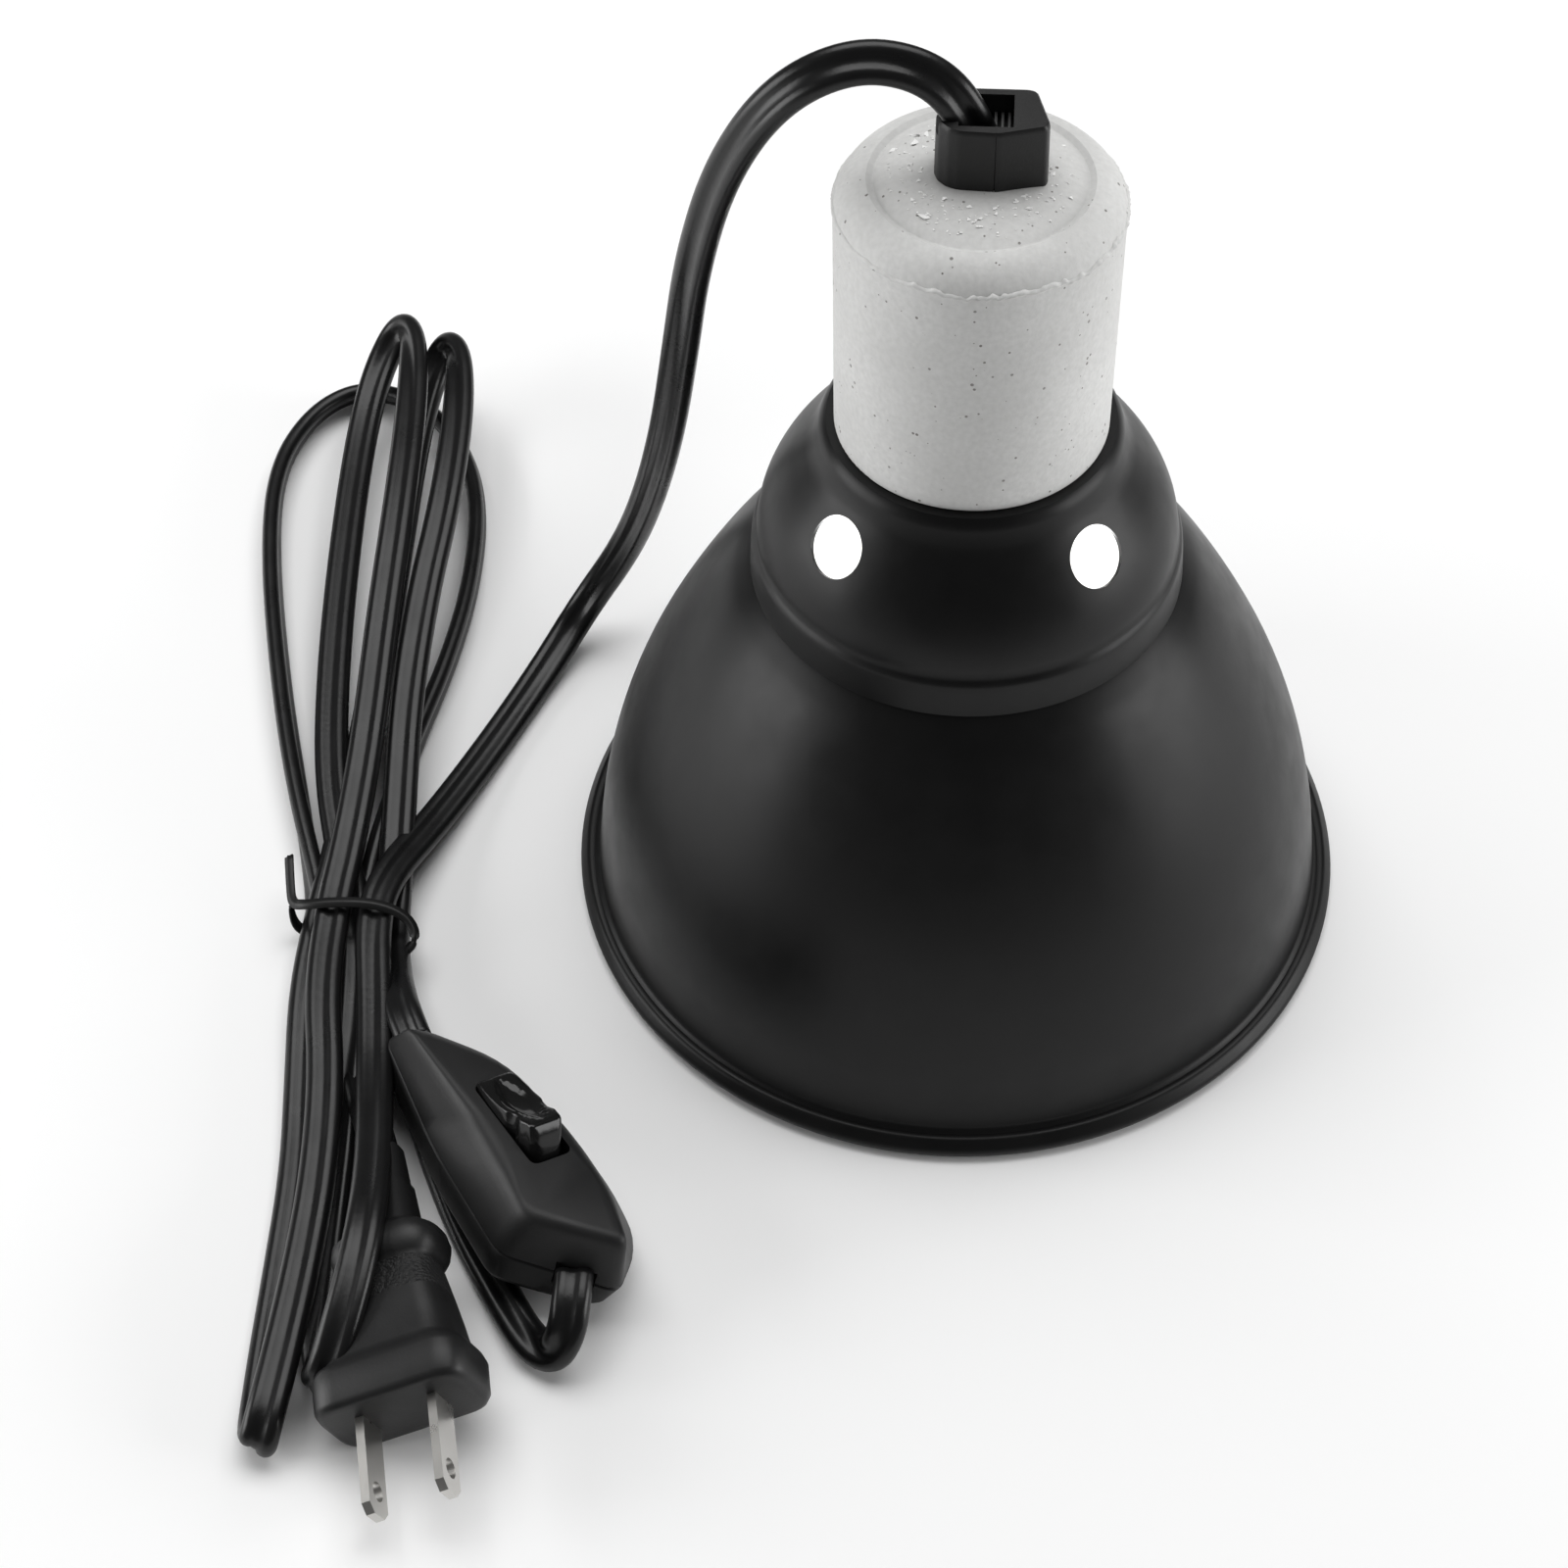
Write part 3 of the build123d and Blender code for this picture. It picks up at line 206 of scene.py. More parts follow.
# Out of the near tip of the switch, folded back under it, round the teardrop coil, and into the plug.
# Each point also has the turn of the cord's wide face there, in degrees, from facing the front and above.
PLUG_CORD = [
    (-0.0593, -0.1030, 0.0124, 0),
    (-0.0592, -0.1076, 0.0124, 0),
    (-0.0597, -0.1124, 0.0092, 0),
    (-0.0622, -0.1142, 0.0042, 20),
    (-0.0668, -0.1106, 0.0026, 40),
    (-0.0727, -0.1016, 0.0022, 20),
    (-0.0818, -0.0870, 0.0020, 0),
    (-0.0910, -0.0666, 0.0020, 0),
    (-0.0984, -0.0476, 0.0020, 0),
    (-0.1046, -0.0340, 0.0019, 0),
    (-0.1074, -0.0200, 0.0028, 45),
    (-0.1072, 0.0000, 0.0033, 90),
    (-0.1044, 0.0200, 0.0034, 90),
    (-0.1012, 0.0380, 0.0034, 90),
    (-0.0994, 0.0580, 0.0034, 90),
    (-0.1004, 0.0800, 0.0034, 90),
    (-0.1052, 0.0970, 0.0034, 90),
    (-0.1146, 0.1104, 0.0034, 90),
    (-0.1240, 0.1154, 0.0034, 90),
    (-0.1332, 0.1156, 0.0034, 90),
    (-0.1410, 0.1066, 0.0034, 90),
    (-0.1449, 0.0900, 0.0034, 90),
    (-0.1416, 0.0650, 0.0034, 90),
    (-0.1330, 0.0300, 0.0034, 90),
    (-0.1254, 0.0044, 0.0034, 90),
    (-0.1180, -0.0180, 0.0026, 60),
    (-0.1146, -0.0320, 0.0020, 20),
    (-0.1104, -0.0440, 0.0020, 0),
    (-0.1050, -0.0550, 0.0026, 0),
    (-0.1010, -0.0660, 0.0058, 0),
    (-0.0982, -0.0730, 0.0098, 0),
    (-0.0950, -0.0814, 0.0125, 0),
]
FACING = Vector((0, -0.6, 0.8))
TWIST_EASE = 0.25
# The arc of a lobe's outline, in degrees: where it starts, and the turn of each of its steps.
LOBE_START = -132
LOBE_STEP = 22
LOBE_POINTS = 13


def spline_points(name, points):
    """Points along the smooth line that has these control points."""
    curve = bpy.data.curves.new(name, "CURVE")
    curve.dimensions = "3D"
    curve.resolution_u = SAMPLES_PER_RUN
    spline = curve.splines.new("NURBS")
    spline.points.add(len(points) - 1)
    for knot, point in zip(spline.points, points):
        knot.co = (*point, 1)
    spline.order_u = 3
    spline.use_endpoint_u = True
    holder = bpy.data.objects.new(name, curve)
    mesh = bpy.data.meshes.new_from_object(holder)
    line = [vertex.co.copy() for vertex in mesh.vertices]
    bpy.data.objects.remove(holder)
    bpy.data.meshes.remove(mesh)
    return line


def cord_section():
    """Across a flat two-core cord: a round lobe for each core, with a shallow valley between."""
    lobe = CORD_THICKNESS / 2
    spread = CORD_WIDTH / 2 - lobe
    outline = []
    for side in (1, -1):
        for step in range(LOBE_POINTS):
            angle = radians(LOBE_START + LOBE_STEP * step) + (0 if side == 1 else pi)
            outline.append((side * spread + lobe * cos(angle), lobe * sin(angle)))
    return outline


def build_mesh(name, verts, faces):
    """A smooth-shaded object made from vertices and faces."""
    mesh = bpy.data.meshes.new(name)
    mesh.from_pydata([tuple(v) for v in verts], [], faces)
    mesh.validate()
    fresh = bmesh.new()
    fresh.from_mesh(mesh)
    bmesh.ops.recalc_face_normals(fresh, faces=fresh.faces)
    fresh.to_mesh(mesh)
    fresh.free()
    for polygon in mesh.polygons:
        polygon.use_smooth = True
    piece = bpy.data.objects.new(name, mesh)
    bpy.context.collection.objects.link(piece)
    return piece


def skin(rings, closed=False):
    """Faces that join rings of equal length, given as rows of vertex numbers."""
    faces = []
    rows = len(rings)
    count = len(rings[0])
    for row in range(rows if closed else rows - 1):
        here, there = rings[row], rings[(row + 1) % rows]
        for i in range(count):
            j = (i + 1) % count
            faces.append((here[i], here[j], there[j], there[i]))
    return faces


def loft(name, sections):
    """A closed piece skinned over rings of points and capped at both ends."""
    count = len(sections[0])
    rings = [range(k * count, (k + 1) * count) for k in range(len(sections))]
    faces = skin(rings)
    faces.append(tuple(rings[0]))
    faces.append(tuple(rings[-1]))
    return build_mesh(name, [point for section in sections for point in section], faces)


def flat_cord(name, control):
    """The flat cord along its control points and turns, and the line down its middle."""
    line = spline_points(name, [point[:3] for point in control])
    turns = spline_points(name, [(point[3], 0, 0) for point in control])
    section = cord_section()
    sections = []
    carried = Vector((0, 0, 0))
    for i, point in enumerate(line):
        along = (line[min(i + 1, len(line) - 1)] - line[max(i - 1, 0)]).normalized()
        # The wide side turns slowly towards FACING, so a tight fold doesn't twist.
        level = along.cross(FACING)
        if level.dot(carried) < 0:
            level = -level
        carried = (carried - along * along.dot(carried) + level * TWIST_EASE).normalized()
        wide = Matrix.Rotation(radians(turns[i].x), 3, along) @ carried
        thin = wide.cross(along)
        sections.append([point + wide * x + thin * y for x, y in section])
    return loft(name, sections), line


def add_cords():
    """Both flat cords, attached to the lamp in place of the record's cord parts."""
    lamp_cord, lamp_line = flat_cord("lamp_cord", [(*point, 0) for point in LAMP_CORD])
    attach(lamp_cord, "lamp")
    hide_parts("cord_lead", "cord_switch_inlet", "cord_hank")
    plug_cord, plug_line = flat_cord("plug_cord", PLUG_CORD)
    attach(plug_cord, "lamp")
    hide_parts("cord_switch_loop", "cord_plug_tail", "cord_hank")
    return lamp_cord, plug_cord


# ---------------------------------------------------------------- dome
# Radius and height, in millimetres, up the outside of the dome.
DOME_OUTSIDE = [
    (68.0, 3.9),
    (66.6, 4.6),
    (66.2, 6.0),
    (65.9, 8.0),
    (65.5, 11.6),
    (64.4, 19.3),
    (61.6, 30.9),
    (57.6, 42.5),
    (52.2, 54.1),
    (45.8, 65.7),
    (40.6, 73.6),
    (36.6, 77.6),
    (34.7, 79.0),
    (34.6, 84.0),
]
SHEET = 0.9
BEAD_RADIUS = 2.2
BEAD_CENTRE = (67.8, 2.2)
# The curl's arc, in degrees: where it starts, the turn of each of its steps, and how many there are.
BEAD_START = 190
BEAD_STEP = 15
BEAD_POINTS = 25
BEAD_GROOVE = 0.28
BEAD_GROOVE_STEPS = (9, 10, 11)
TURN_STEPS = 180


def lathe(name, profile):
    """A profile of radii and heights, in millimetres, turned about the vertical axis into a closed ring."""
    verts = []
    for step in range(TURN_STEPS):
        angle = 2 * pi * step / TURN_STEPS
        verts += [(r * MM * cos(angle), r * MM * sin(angle), z * MM) for r, z in profile]
    count = len(profile)
    rings = [range(step * count, (step + 1) * count) for step in range(TURN_STEPS)]
    return build_mesh(name, verts, skin(rings, closed=True))


def smooth_profile(points):
    """A smooth line through the heights of a profile."""
    return [(p.x, p.z) for p in spline_points("profile", [(r, 0, z) for r, z in points])]


def add_dome():
    """The spun dome with its rolled rim: enamel outside, bright metal inside."""
    outside = smooth_profile(DOME_OUTSIDE)
    inside = [(r - SHEET, z) for r, z in outside[::-1]]
    bead = []
    for step in range(BEAD_POINTS):
        angle = radians(BEAD_START - BEAD_STEP * step)
        radius = BEAD_RADIUS - (BEAD_GROOVE if step in BEAD_GROOVE_STEPS else 0)
        height = BEAD_CENTRE[1] + radius * sin(angle)
        bead.append((BEAD_CENTRE[0] + radius * cos(angle), max(height, 0.0)))
    outer = lathe("dome", [*outside, *inside])
    for polygon in outer.data.polygons:
        outward = Vector((polygon.center.x, polygon.center.y, 0)).normalized()
        polygon.material_index = 0 if polygon.normal.dot(outward) + polygon.normal.z > 0 else 1
    rim = lathe("dome_rim", bead)
    for piece in (outer, rim):
        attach(piece, "lamp")
        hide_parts("reflector_dome")
    return outer, rim


# ---------------------------------------------------------------- vent cap
# Radius and height, in millimetres, up the outside: skirt, shoulder and a bowed cone.
CAP_OUTSIDE = [
    (36.3, 78.4),
    (36.1, 81.6),
    (35.9, 84.2),
    (35.7, 84.9),
    (35.0, 85.9),
    (34.8, 88.4),
    (34.0, 91.6),
    (32.4, 95.4),
    (30.2, 99.0),
    (27.8, 102.2),
    (25.9, 104.8),
    (25.0, 107.0),
    (24.3, 109.4),
    (23.4, 110.2),
]
PLATE_RADIUS = 18.4
CAP_SHEET = 0.6
VENT_RING_RADIUS = 29.4
VENT_HEIGHT = 100.2
VENT_RADIUS = 5.1
VENT_TILT = radians(36)
VENT_STEPS = 48
VENT_CUT_DEPTH = 5


def cut(piece, cutter):
    """Takes the cutter's volume out of the piece."""
    modifier = piece.modifiers.new("cut", "BOOLEAN")
    modifier.object = cutter
    modifier.solver = "EXACT"
    bpy.context.view_layer.update()
    evaluated = piece.evaluated_get(bpy.context.evaluated_depsgraph_get())
    fresh = bpy.data.meshes.new_from_object(evaluated)
    piece.modifiers.clear()
    piece.data = fresh
    bpy.data.objects.remove(cutter)


def sharpen(piece, angle=32):
    """Shades the piece smooth except over edges sharper than angle."""
    for polygon in piece.data.polygons:
        polygon.use_smooth = True
    piece.data.set_sharp_from_angle(angle=radians(angle))


def add_vent_cap():
    """The cap over the dome's neck, with four round vent holes and a plate under the lampholder."""
    outside = smooth_profile(CAP_OUTSIDE)
    inside = [(r - CAP_SHEET, z - CAP_SHEET * 0.7) for r, z in outside[::-1]]
    inside[-1] = (inside[-1][0], outside[0][1])
    top = outside[-1][1]
    cap = lathe("vent_cap_skin", [*outside, (PLATE_RADIUS, top), (PLATE_RADIUS, top - CAP_SHEET), *inside])
    for corner in range(4):
        turn = radians(45 + 90 * corner)
        outward = Vector((cos(turn), sin(turn), 0))
        centre = outward * VENT_RING_RADIUS + Vector((0, 0, VENT_HEIGHT))
        axis = outward * cos(VENT_TILT) + Vector((0, 0, sin(VENT_TILT)))
        side = axis.cross(outward).normalized()
        rise = side.cross(axis)
        angles = [2 * pi * step / VENT_STEPS for step in range(VENT_STEPS)]
        rings = []
        for depth in (-VENT_CUT_DEPTH, VENT_CUT_DEPTH):
            ring = [centre + axis * depth + (side * cos(a) + rise * sin(a)) * VENT_RADIUS for a in angles]
            rings.append([point * MM for point in ring])
        cut(cap, loft("vent", rings))
    sharpen(cap)
    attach(cap, "lamp")
    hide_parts("vent_cap")
    return cap


# ---------------------------------------------------------------- switch
JOINTS = {joint["name"]: joint for joint in frame["joints"]}
MOUNTS = {mount["name"]: mount for mount in frame["record"]["mounts"]}
ACROSS = Vector(JOINTS["rocker_press"]["axis"]).normalized()
ALONG = ACROSS.cross(Vector((0, 0, 1))).normalized()
UPWARD = ALONG.cross(ACROSS)
PIVOT = Vector(JOINTS["rocker_press"]["pos_m"])
PIVOT_ALONG = 2.0
PIVOT_HEIGHT = 13.0
SWITCH_FOOT = PIVOT - ALONG * PIVOT_ALONG * MM - UPWARD * PIVOT_HEIGHT * MM

# The casing's outline at its foot, its seam and its top, in millimetres along and across it.
CASING_FOOT = [(-29, -6), (-28, 3), (-16, 10.4), (11, 12.4), (24.6, 9.4)]
CASING_FOOT += [(31.8, 0.2), (25.4, -7.4), (18.8, -13.6), (-4, -11.6)]
CASING_SEAM = [(-32, -5), (-31, 2.6), (-18, 11), (12, 13.4), (26.4, 10.4)]
CASING_SEAM += [(33.7, 1.5), (26.4, -5.1), (18.2, -12.8), (-6, -10.7)]
CASING_TOP = [(-24.8, -7.2), (-22, -4.2), (-11, 4.8), (6, 6.4), (21, 5.6)]
CASING_TOP += [(32.8, 2), (26.8, -4.7), (20.2, -11.2), (4, -7.9)]
# Height, how far between two of the outlines, and how far the edge is drawn in, in millimetres.
COVER_LEVELS = [(0.0, 0.0, 1.6), (0.5, 0.06, 0.6), (1.5, 0.2, 0.0), (5.5, 0.98, 0.0), (5.8, 1.0, 0.3)]
SHELL_LEVELS = [(5.9, 0.0, 0.3), (6.2, 0.03, 0.0), (10.0, 0.38, 0.0), (13.6, 0.71, 0.0), (15.0, 0.84, 0.1)]
SHELL_LEVELS += [(15.9, 0.92, 0.4), (16.5, 0.97, 0.95), (16.85, 1.0, 1.7), (17.0, 1.0, 2.7)]
CORNER_RADIUS = 2.6
SHALLOW_FACTOR = 2.6
SHALLOW_CORNER = radians(140)
# Centre, size, corner radius, and lower and upper height of each opening, in millimetres.
SLOT = ((PIVOT_ALONG, 0), (19.4, 8.0), 1.6, (8.5, 19))
NEAR_MOUTH = ((28.6, -4.4), (8, 7.0), 0.6, (3.6, 8.4))
NEAR_MOUTH_TURN = radians(-44)
FAR_MOUTH = ((-31.0, -0.5), (12, 6.9), 0.6, (5.2, 9.6))


def switch_point(u, v, w):
    """A point of the switch, in millimetres along, across and up from the middle of its foot."""
    return SWITCH_FOOT + (ALONG * u + ACROSS * v + UPWARD * w) * MM


def rounded_outline(corners, radius, steps=5, shallow=1.0):
    """A closed outline with its corners rounded off, and its shallow corners by this much more."""
    outline = []
    for i, corner in enumerate(corners):
        here = Vector(corner)
        before = Vector(corners[i - 1]) - here
        after = Vector(corners[(i + 1) % len(corners)]) - here
        reach = radius * shallow if before.angle(after) > SHALLOW_CORNER else radius
        reach = min(reach, 0.45 * before.length, 0.45 * after.length)
        start, end = here + before.normalized() * reach, here + after.normalized() * reach
        for step in range(steps + 1):
            t = step / steps
            outline.append(start * (1 - t) ** 2 + here * 2 * t * (1 - t) + end * t**2)
    return outline


def casing_part(name, levels, low, high):
    """Part of the casing, whose outline goes from low to high up these levels."""
    sections = []
    for height, share, inset in levels:
        corners = [Vector(a).lerp(Vector(b), share) for a, b in zip(low, high)]
        middle = sum(corners, Vector((0, 0))) / len(corners)
        corners = [corner + (middle - corner).normalized() * inset for corner in corners]
        outline = rounded_outline(corners, CORNER_RADIUS, shallow=SHALLOW_FACTOR)
        sections.append([switch_point(p.x, p.y, height) for p in outline])
    return loft(name, sections)


def box_corners(length, width):
    """The corners of a rectangle about the origin."""
    x, y = length / 2, width / 2
    return [(-x, -y), (x, -y), (x, y), (-x, y)]


def switch_cutter(name, centre, size, corner, heights, turn=0.0):
    """A rounded block in the switch's axes, for cutting an opening."""
    u, v = centre
    spun = [
        (u + x * cos(turn) - y * sin(turn), v + x * sin(turn) + y * cos(turn))
        for x, y in box_corners(*size)
    ]
    outline = rounded_outline(spun, corner)
    return loft(name, [[switch_point(p.x, p.y, w) for p in outline] for w in heights])


def add_casing():
    """The switch's two shells, with the slot for the rocker and an opening for the cord at each tip."""
    cover = casing_part("switch_cover_skin", COVER_LEVELS, CASING_FOOT, CASING_SEAM)
    shell = casing_part("switch_shell_skin", SHELL_LEVELS, CASING_SEAM, CASING_TOP)
    cut(shell, switch_cutter("slot", *SLOT))
    for piece in (cover, shell):
        cut(piece, switch_cutter("near", *NEAR_MOUTH, NEAR_MOUTH_TURN))
        cut(piece, switch_cutter("far", *FAR_MOUTH))
        sharpen(piece)
        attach(piece, "lamp")
    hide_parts("switch_lower_cover")
    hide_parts("switch_upper_shell")
    return cover, shell


ROCKER_REST = radians(15)
# Half the rocker's width, and the height of its lower and upper edge over its pivot, at places along it.
ROCKER_SHAPE = [
    (-9.5, 1.2, -0.4, 1.2),
    (-9.3, 2.3, -0.5, 3.4),
    (-8.8, 3.0, -0.6, 5.6),
    (-8.2, 3.3, -0.7, 7.0),
    (-7.4, 3.5, -0.8, 7.3),
    (-6.2, 3.65, -1.2, 7.2),
    (-4.6, 3.75, -1.6, 7.0),
    (-3.0, 3.8, -4.4, 6.85),
    (-1.5, 3.8, -4.6, 6.8),
    (0.0, 3.8, -4.6, 6.8),
    (1.2, 3.75, -4.6, 6.85),
    (2.2, 3.3, -4.5, 6.9),
    (3.3, 2.95, -2.6, 7.0),
    (4.4, 3.2, -1.4, 7.1),
    (5.3, 3.6, -1.2, 7.2),
    (6.3, 3.3, -1.0, 7.3),
    (7.2, 3.2, -0.9, 7.35),
    (7.8, 3.1, -0.8, 7.25),
    (8.2, 2.85, -0.7, 6.9),
    (8.8, 2.5, -0.6, 5.5),
    (9.3, 1.9, -0.5, 3.4),
    (9.5, 1.2, -0.4, 1.2),
]
DISH_LENGTH = 7.6
DISH_WIDTH = 2.5
DISH_DEPTH = 0.8
ROCKER_EDGE = 0.45


def rocker_section(x, half, low, high):
    """The outline of the rocker's section at x: soft upper edges and a dished top."""
    soft = ROCKER_EDGE
    outline = [(-half, low), (-half, high - soft), (-half + soft * 0.3, high - soft * 0.3)]
    room = max(0.0, 1 - (x / DISH_LENGTH) ** 2)
    for step in range(-6, 7):
        side = step / 6 * (half - soft)
        share = abs(side) / (DISH_WIDTH * room + 0.01)
        dip = DISH_DEPTH * room * (1 - share**4) if share < 1 else 0.0
        outline.append((side, high - dip))
    outline += [(half - soft * 0.3, high - soft * 0.3), (half, high - soft), (half, low)]
    return outline


def add_rocker():
    """The rocker with a dished top and fluted sides, tilted as at rest with its near end up."""
    along = ALONG * cos(ROCKER_REST) + UPWARD * sin(ROCKER_REST)
    above = UPWARD * cos(ROCKER_REST) - ALONG * sin(ROCKER_REST)
    sides = spline_points("rocker_sides", [(x, half, high) for x, half, _, high in ROCKER_SHAPE])
    feet = spline_points("rocker_feet", [(x, low, 0) for x, _, low, _ in ROCKER_SHAPE])
    sections = []
    for (x, half, high), foot in zip(sides, feet):
        outline = rocker_section(x, half, foot.y, high)
        sections.append([PIVOT + (along * x + ACROSS * side + above * y) * MM for side, y in outline])
    rocker = loft("rocker_skin", sections)
    sharpen(rocker, 40)
    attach(rocker, "rocker")
    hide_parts("switch_rocker")
    return rocker


# ---------------------------------------------------------------- lampholder top
# In millimetres: the edge where the lid meets the body, then the lid's domed face inside its ring.
EDGE_RADIUS = 22.06
EDGE_HEIGHT = 153.4
RIDGE_STEPS = 360
CROWN_RADIUS = 16.2
CROWN_HEIGHT = 159.5
CROWN_FOOT = 157.0
CROWN_LEVEL_RADIUS = 7
CROWN_FALL = 0.026
CROWN_STEP = 0.4
CROWN_STEPS = 30
# The strain relief's plan, and its height and scale at each level.
RELIEF_PLAN = [(-7, -1.4), (-6.4, -3.1), (-5.1, -4.4), (-3.4, -5.1), (2.4, -5.4), (9.5, -3.4), (9.9, -2.0)]
RELIEF_PLAN += [(8.0, 5.2), (6.8, 5.6), (-1.6, 5.6), (-5.4, 4.8), (-7, 2.2)]
RELIEF_LEVELS = [(157.7, 0.985), (158.2, 1.0), (169.0, 0.985), (169.6, 0.97), (169.9, 0.94)]
RELIEF_CORNER = 0.5
# The lower and upper corner of each cut: the cord's well, its open lip, and the parting line.
RELIEF_CUTS = {
    "well": ((-3.6, -3.6, 165.8), (4.4, 4.0, 172)),
    "lip": ((-9, -2.6, 167.2), (-3.0, 2.8, 172)),
    "parting": ((1.85, -6, 150), (2.0, -4.98, 172)),
}
TOOTH_COUNT = 6
TOOTH_PITCH = 1.0
TOOTH_WIDTH = 0.4
TOOTH_FIRST = -1.4
TOOTH_FRONT = -3.7
TOOTH_BACK = 4.1
# Height of each level of a tooth, and how far it leans forward there.
TOOTH_LEVELS = [(165.6, 0.0), (166.5, 0.0), (166.8, 0.12)]
CRUMB_COUNT = 150
CRUMB_CORNERS = 9
CRUMB_REACH = (8.6, 14.5)


def block(name, low, high):
    """A plain block between two corners in millimetres, for cutting an opening."""
    outline = [(low[0], low[1]), (high[0], low[1]), (high[0], high[1]), (low[0], high[1])]
    return loft(name, [[Vector((x, y, z)) * MM for x, y in outline] for z in (low[2], high[2])])


def add_relief():
    """The strain relief and its teeth: the cord's well is open at the top and to the left."""
    sections = []
    for height, scale in RELIEF_LEVELS:
        outline = rounded_outline([(x * scale, y * scale) for x, y in RELIEF_PLAN], RELIEF_CORNER)
        sections.append([Vector((p.x, p.y, height)) * MM for p in outline])
    relief = loft("strain_relief_skin", sections)
    for name, (low, high) in RELIEF_CUTS.items():
        cut(relief, block(name, low, high))
    sharpen(relief)
    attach(relief, "lamp")
    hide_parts("strain_relief_left", "strain_relief_right")
    teeth = []
    for step in range(TOOTH_COUNT):
        x = TOOTH_FIRST + TOOTH_PITCH * step
        far = x + TOOTH_WIDTH
        outline = [(x, TOOTH_FRONT), (far, TOOTH_FRONT), (far, TOOTH_BACK), (x, TOOTH_BACK)]
        sections = [[Vector((a, b - lean, z)) * MM for a, b in outline] for z, lean in TOOTH_LEVELS]
        tooth = loft(f"relief_tooth_{step}", sections)
        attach(tooth, "lamp")
        teeth.append(tooth)
    return [relief, *teeth]


def add_parting_ridge():
    """The ragged line of glaze and flash where the lid meets the ceramic body."""
    rings = []
    verts = []
    for step in range(RIDGE_STEPS):
        angle = 2 * pi * step / RIDGE_STEPS
        direction = Vector((cos(angle), sin(angle), 0))
        ragged = 0.25 + 0.75 * max(0.0, cos(angle + 0.9))
        wander = noise.noise(direction * 5) * 0.9 * ragged + noise.noise(direction * 23) * 0.5 * ragged
        proud = 0.22 + 0.6 * ragged * abs(noise.noise(direction * 31 + Vector((4, 0, 0))))
        outline = [(-0.2, -0.5), (proud * 0.7, -0.22), (proud, 0.0), (proud * 0.4, 0.3), (-0.5, 0.62)]
        rings.append(range(len(verts), len(verts) + len(outline)))
        for out, up in outline:
            height = Vector((0, 0, EDGE_HEIGHT + up + wander))
            verts.append((direction * (EDGE_RADIUS + out) + height) * MM)
    ridge = build_mesh("parting_ridge", verts, skin(rings, True))
    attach(ridge, "lamp")
    return ridge


def crown_height(radius):
    """Height of the lid's face, which rises gently towards the strain relief."""
    return CROWN_HEIGHT - CROWN_FALL * max(0.0, radius - CROWN_LEVEL_RADIUS) ** 2


def add_crown():
    """The slightly domed face of the lid inside its ring."""
    radii = [CROWN_RADIUS - CROWN_STEP * step for step in range(CROWN_STEPS)]
    crown = [(radius, crown_height(radius)) for radius in radii]
    piece = lathe("lid_crown", [*crown, (radii[-1], CROWN_FOOT), (CROWN_RADIUS, CROWN_FOOT)])
    sharpen(piece)
    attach(piece, "lamp")
    return piece


def add_crumbs():
    """Crumbs of glaze on the lid round the strain relief."""
    chance = random.Random(11)
    shape = bmesh.new()
    for _ in range(CRUMB_COUNT):
        angle = chance.gauss(-1.7, 1.3)
        reach = chance.uniform(*CRUMB_REACH)
        size = chance.uniform(0.07, 0.19) + 0.36 * chance.random() ** 12
        centre = Vector((reach * cos(angle), reach * sin(angle), crown_height(reach) + 0.02))
        corners = []
        for _ in range(CRUMB_CORNERS):
            offset = Vector((chance.gauss(0, 1.1), chance.gauss(0, 0.8), abs(chance.gauss(0, 0.5))))
            corners.append(shape.verts.new((centre + offset * size) * MM))
        bmesh.ops.convex_hull(shape, input=corners)
    loose = [vert for vert in shape.verts if not vert.link_faces]
    bmesh.ops.delete(shape, geom=loose, context="VERTS")
    mesh = bpy.data.meshes.new("glaze_crumbs")
    shape.to_mesh(mesh)
    shape.free()
    crumbs = bpy.data.objects.new("glaze_crumbs", mesh)
    bpy.context.scene.collection.objects.link(crumbs)
    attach(crumbs, "lamp")
    return crumbs


# ---------------------------------------------------------------- tie
# From its free end on the left over the bundle to a curl on the right, and back underneath.
TIE_LINE = [
    (-0.1224, -0.0165, 0.0094),
    (-0.1212, -0.0225, 0.0090),
    (-0.1200, -0.0272, 0.0090),
    (-0.1174, -0.0286, 0.0108),
    (-0.1115, -0.0284, 0.0118),
    (-0.1055, -0.0284, 0.0120),
    (-0.1010, -0.0288, 0.0110),
    (-0.0978, -0.0300, 0.0094),
    (-0.0964, -0.0328, 0.0078),
    (-0.0980, -0.0352, 0.0066),
    (-0.1002, -0.0336, 0.0056),
    (-0.0998, -0.0300, 0.0042),
    (-0.1015, -0.0282, 0.0016),
    (-0.1060, -0.0280, 0.0007),
    (-0.1130, -0.0280, 0.0007),
    (-0.1184, -0.0280, 0.0014),
    (-0.1206, -0.0276, 0.0044),
    (-0.1204, -0.0268, 0.0078),
]
TIE_WIDTH = 1.9 * MM
TIE_THICKNESS = 0.6 * MM
TIE_WIDE_SIDE = Vector((0.15, 1, 0.3))


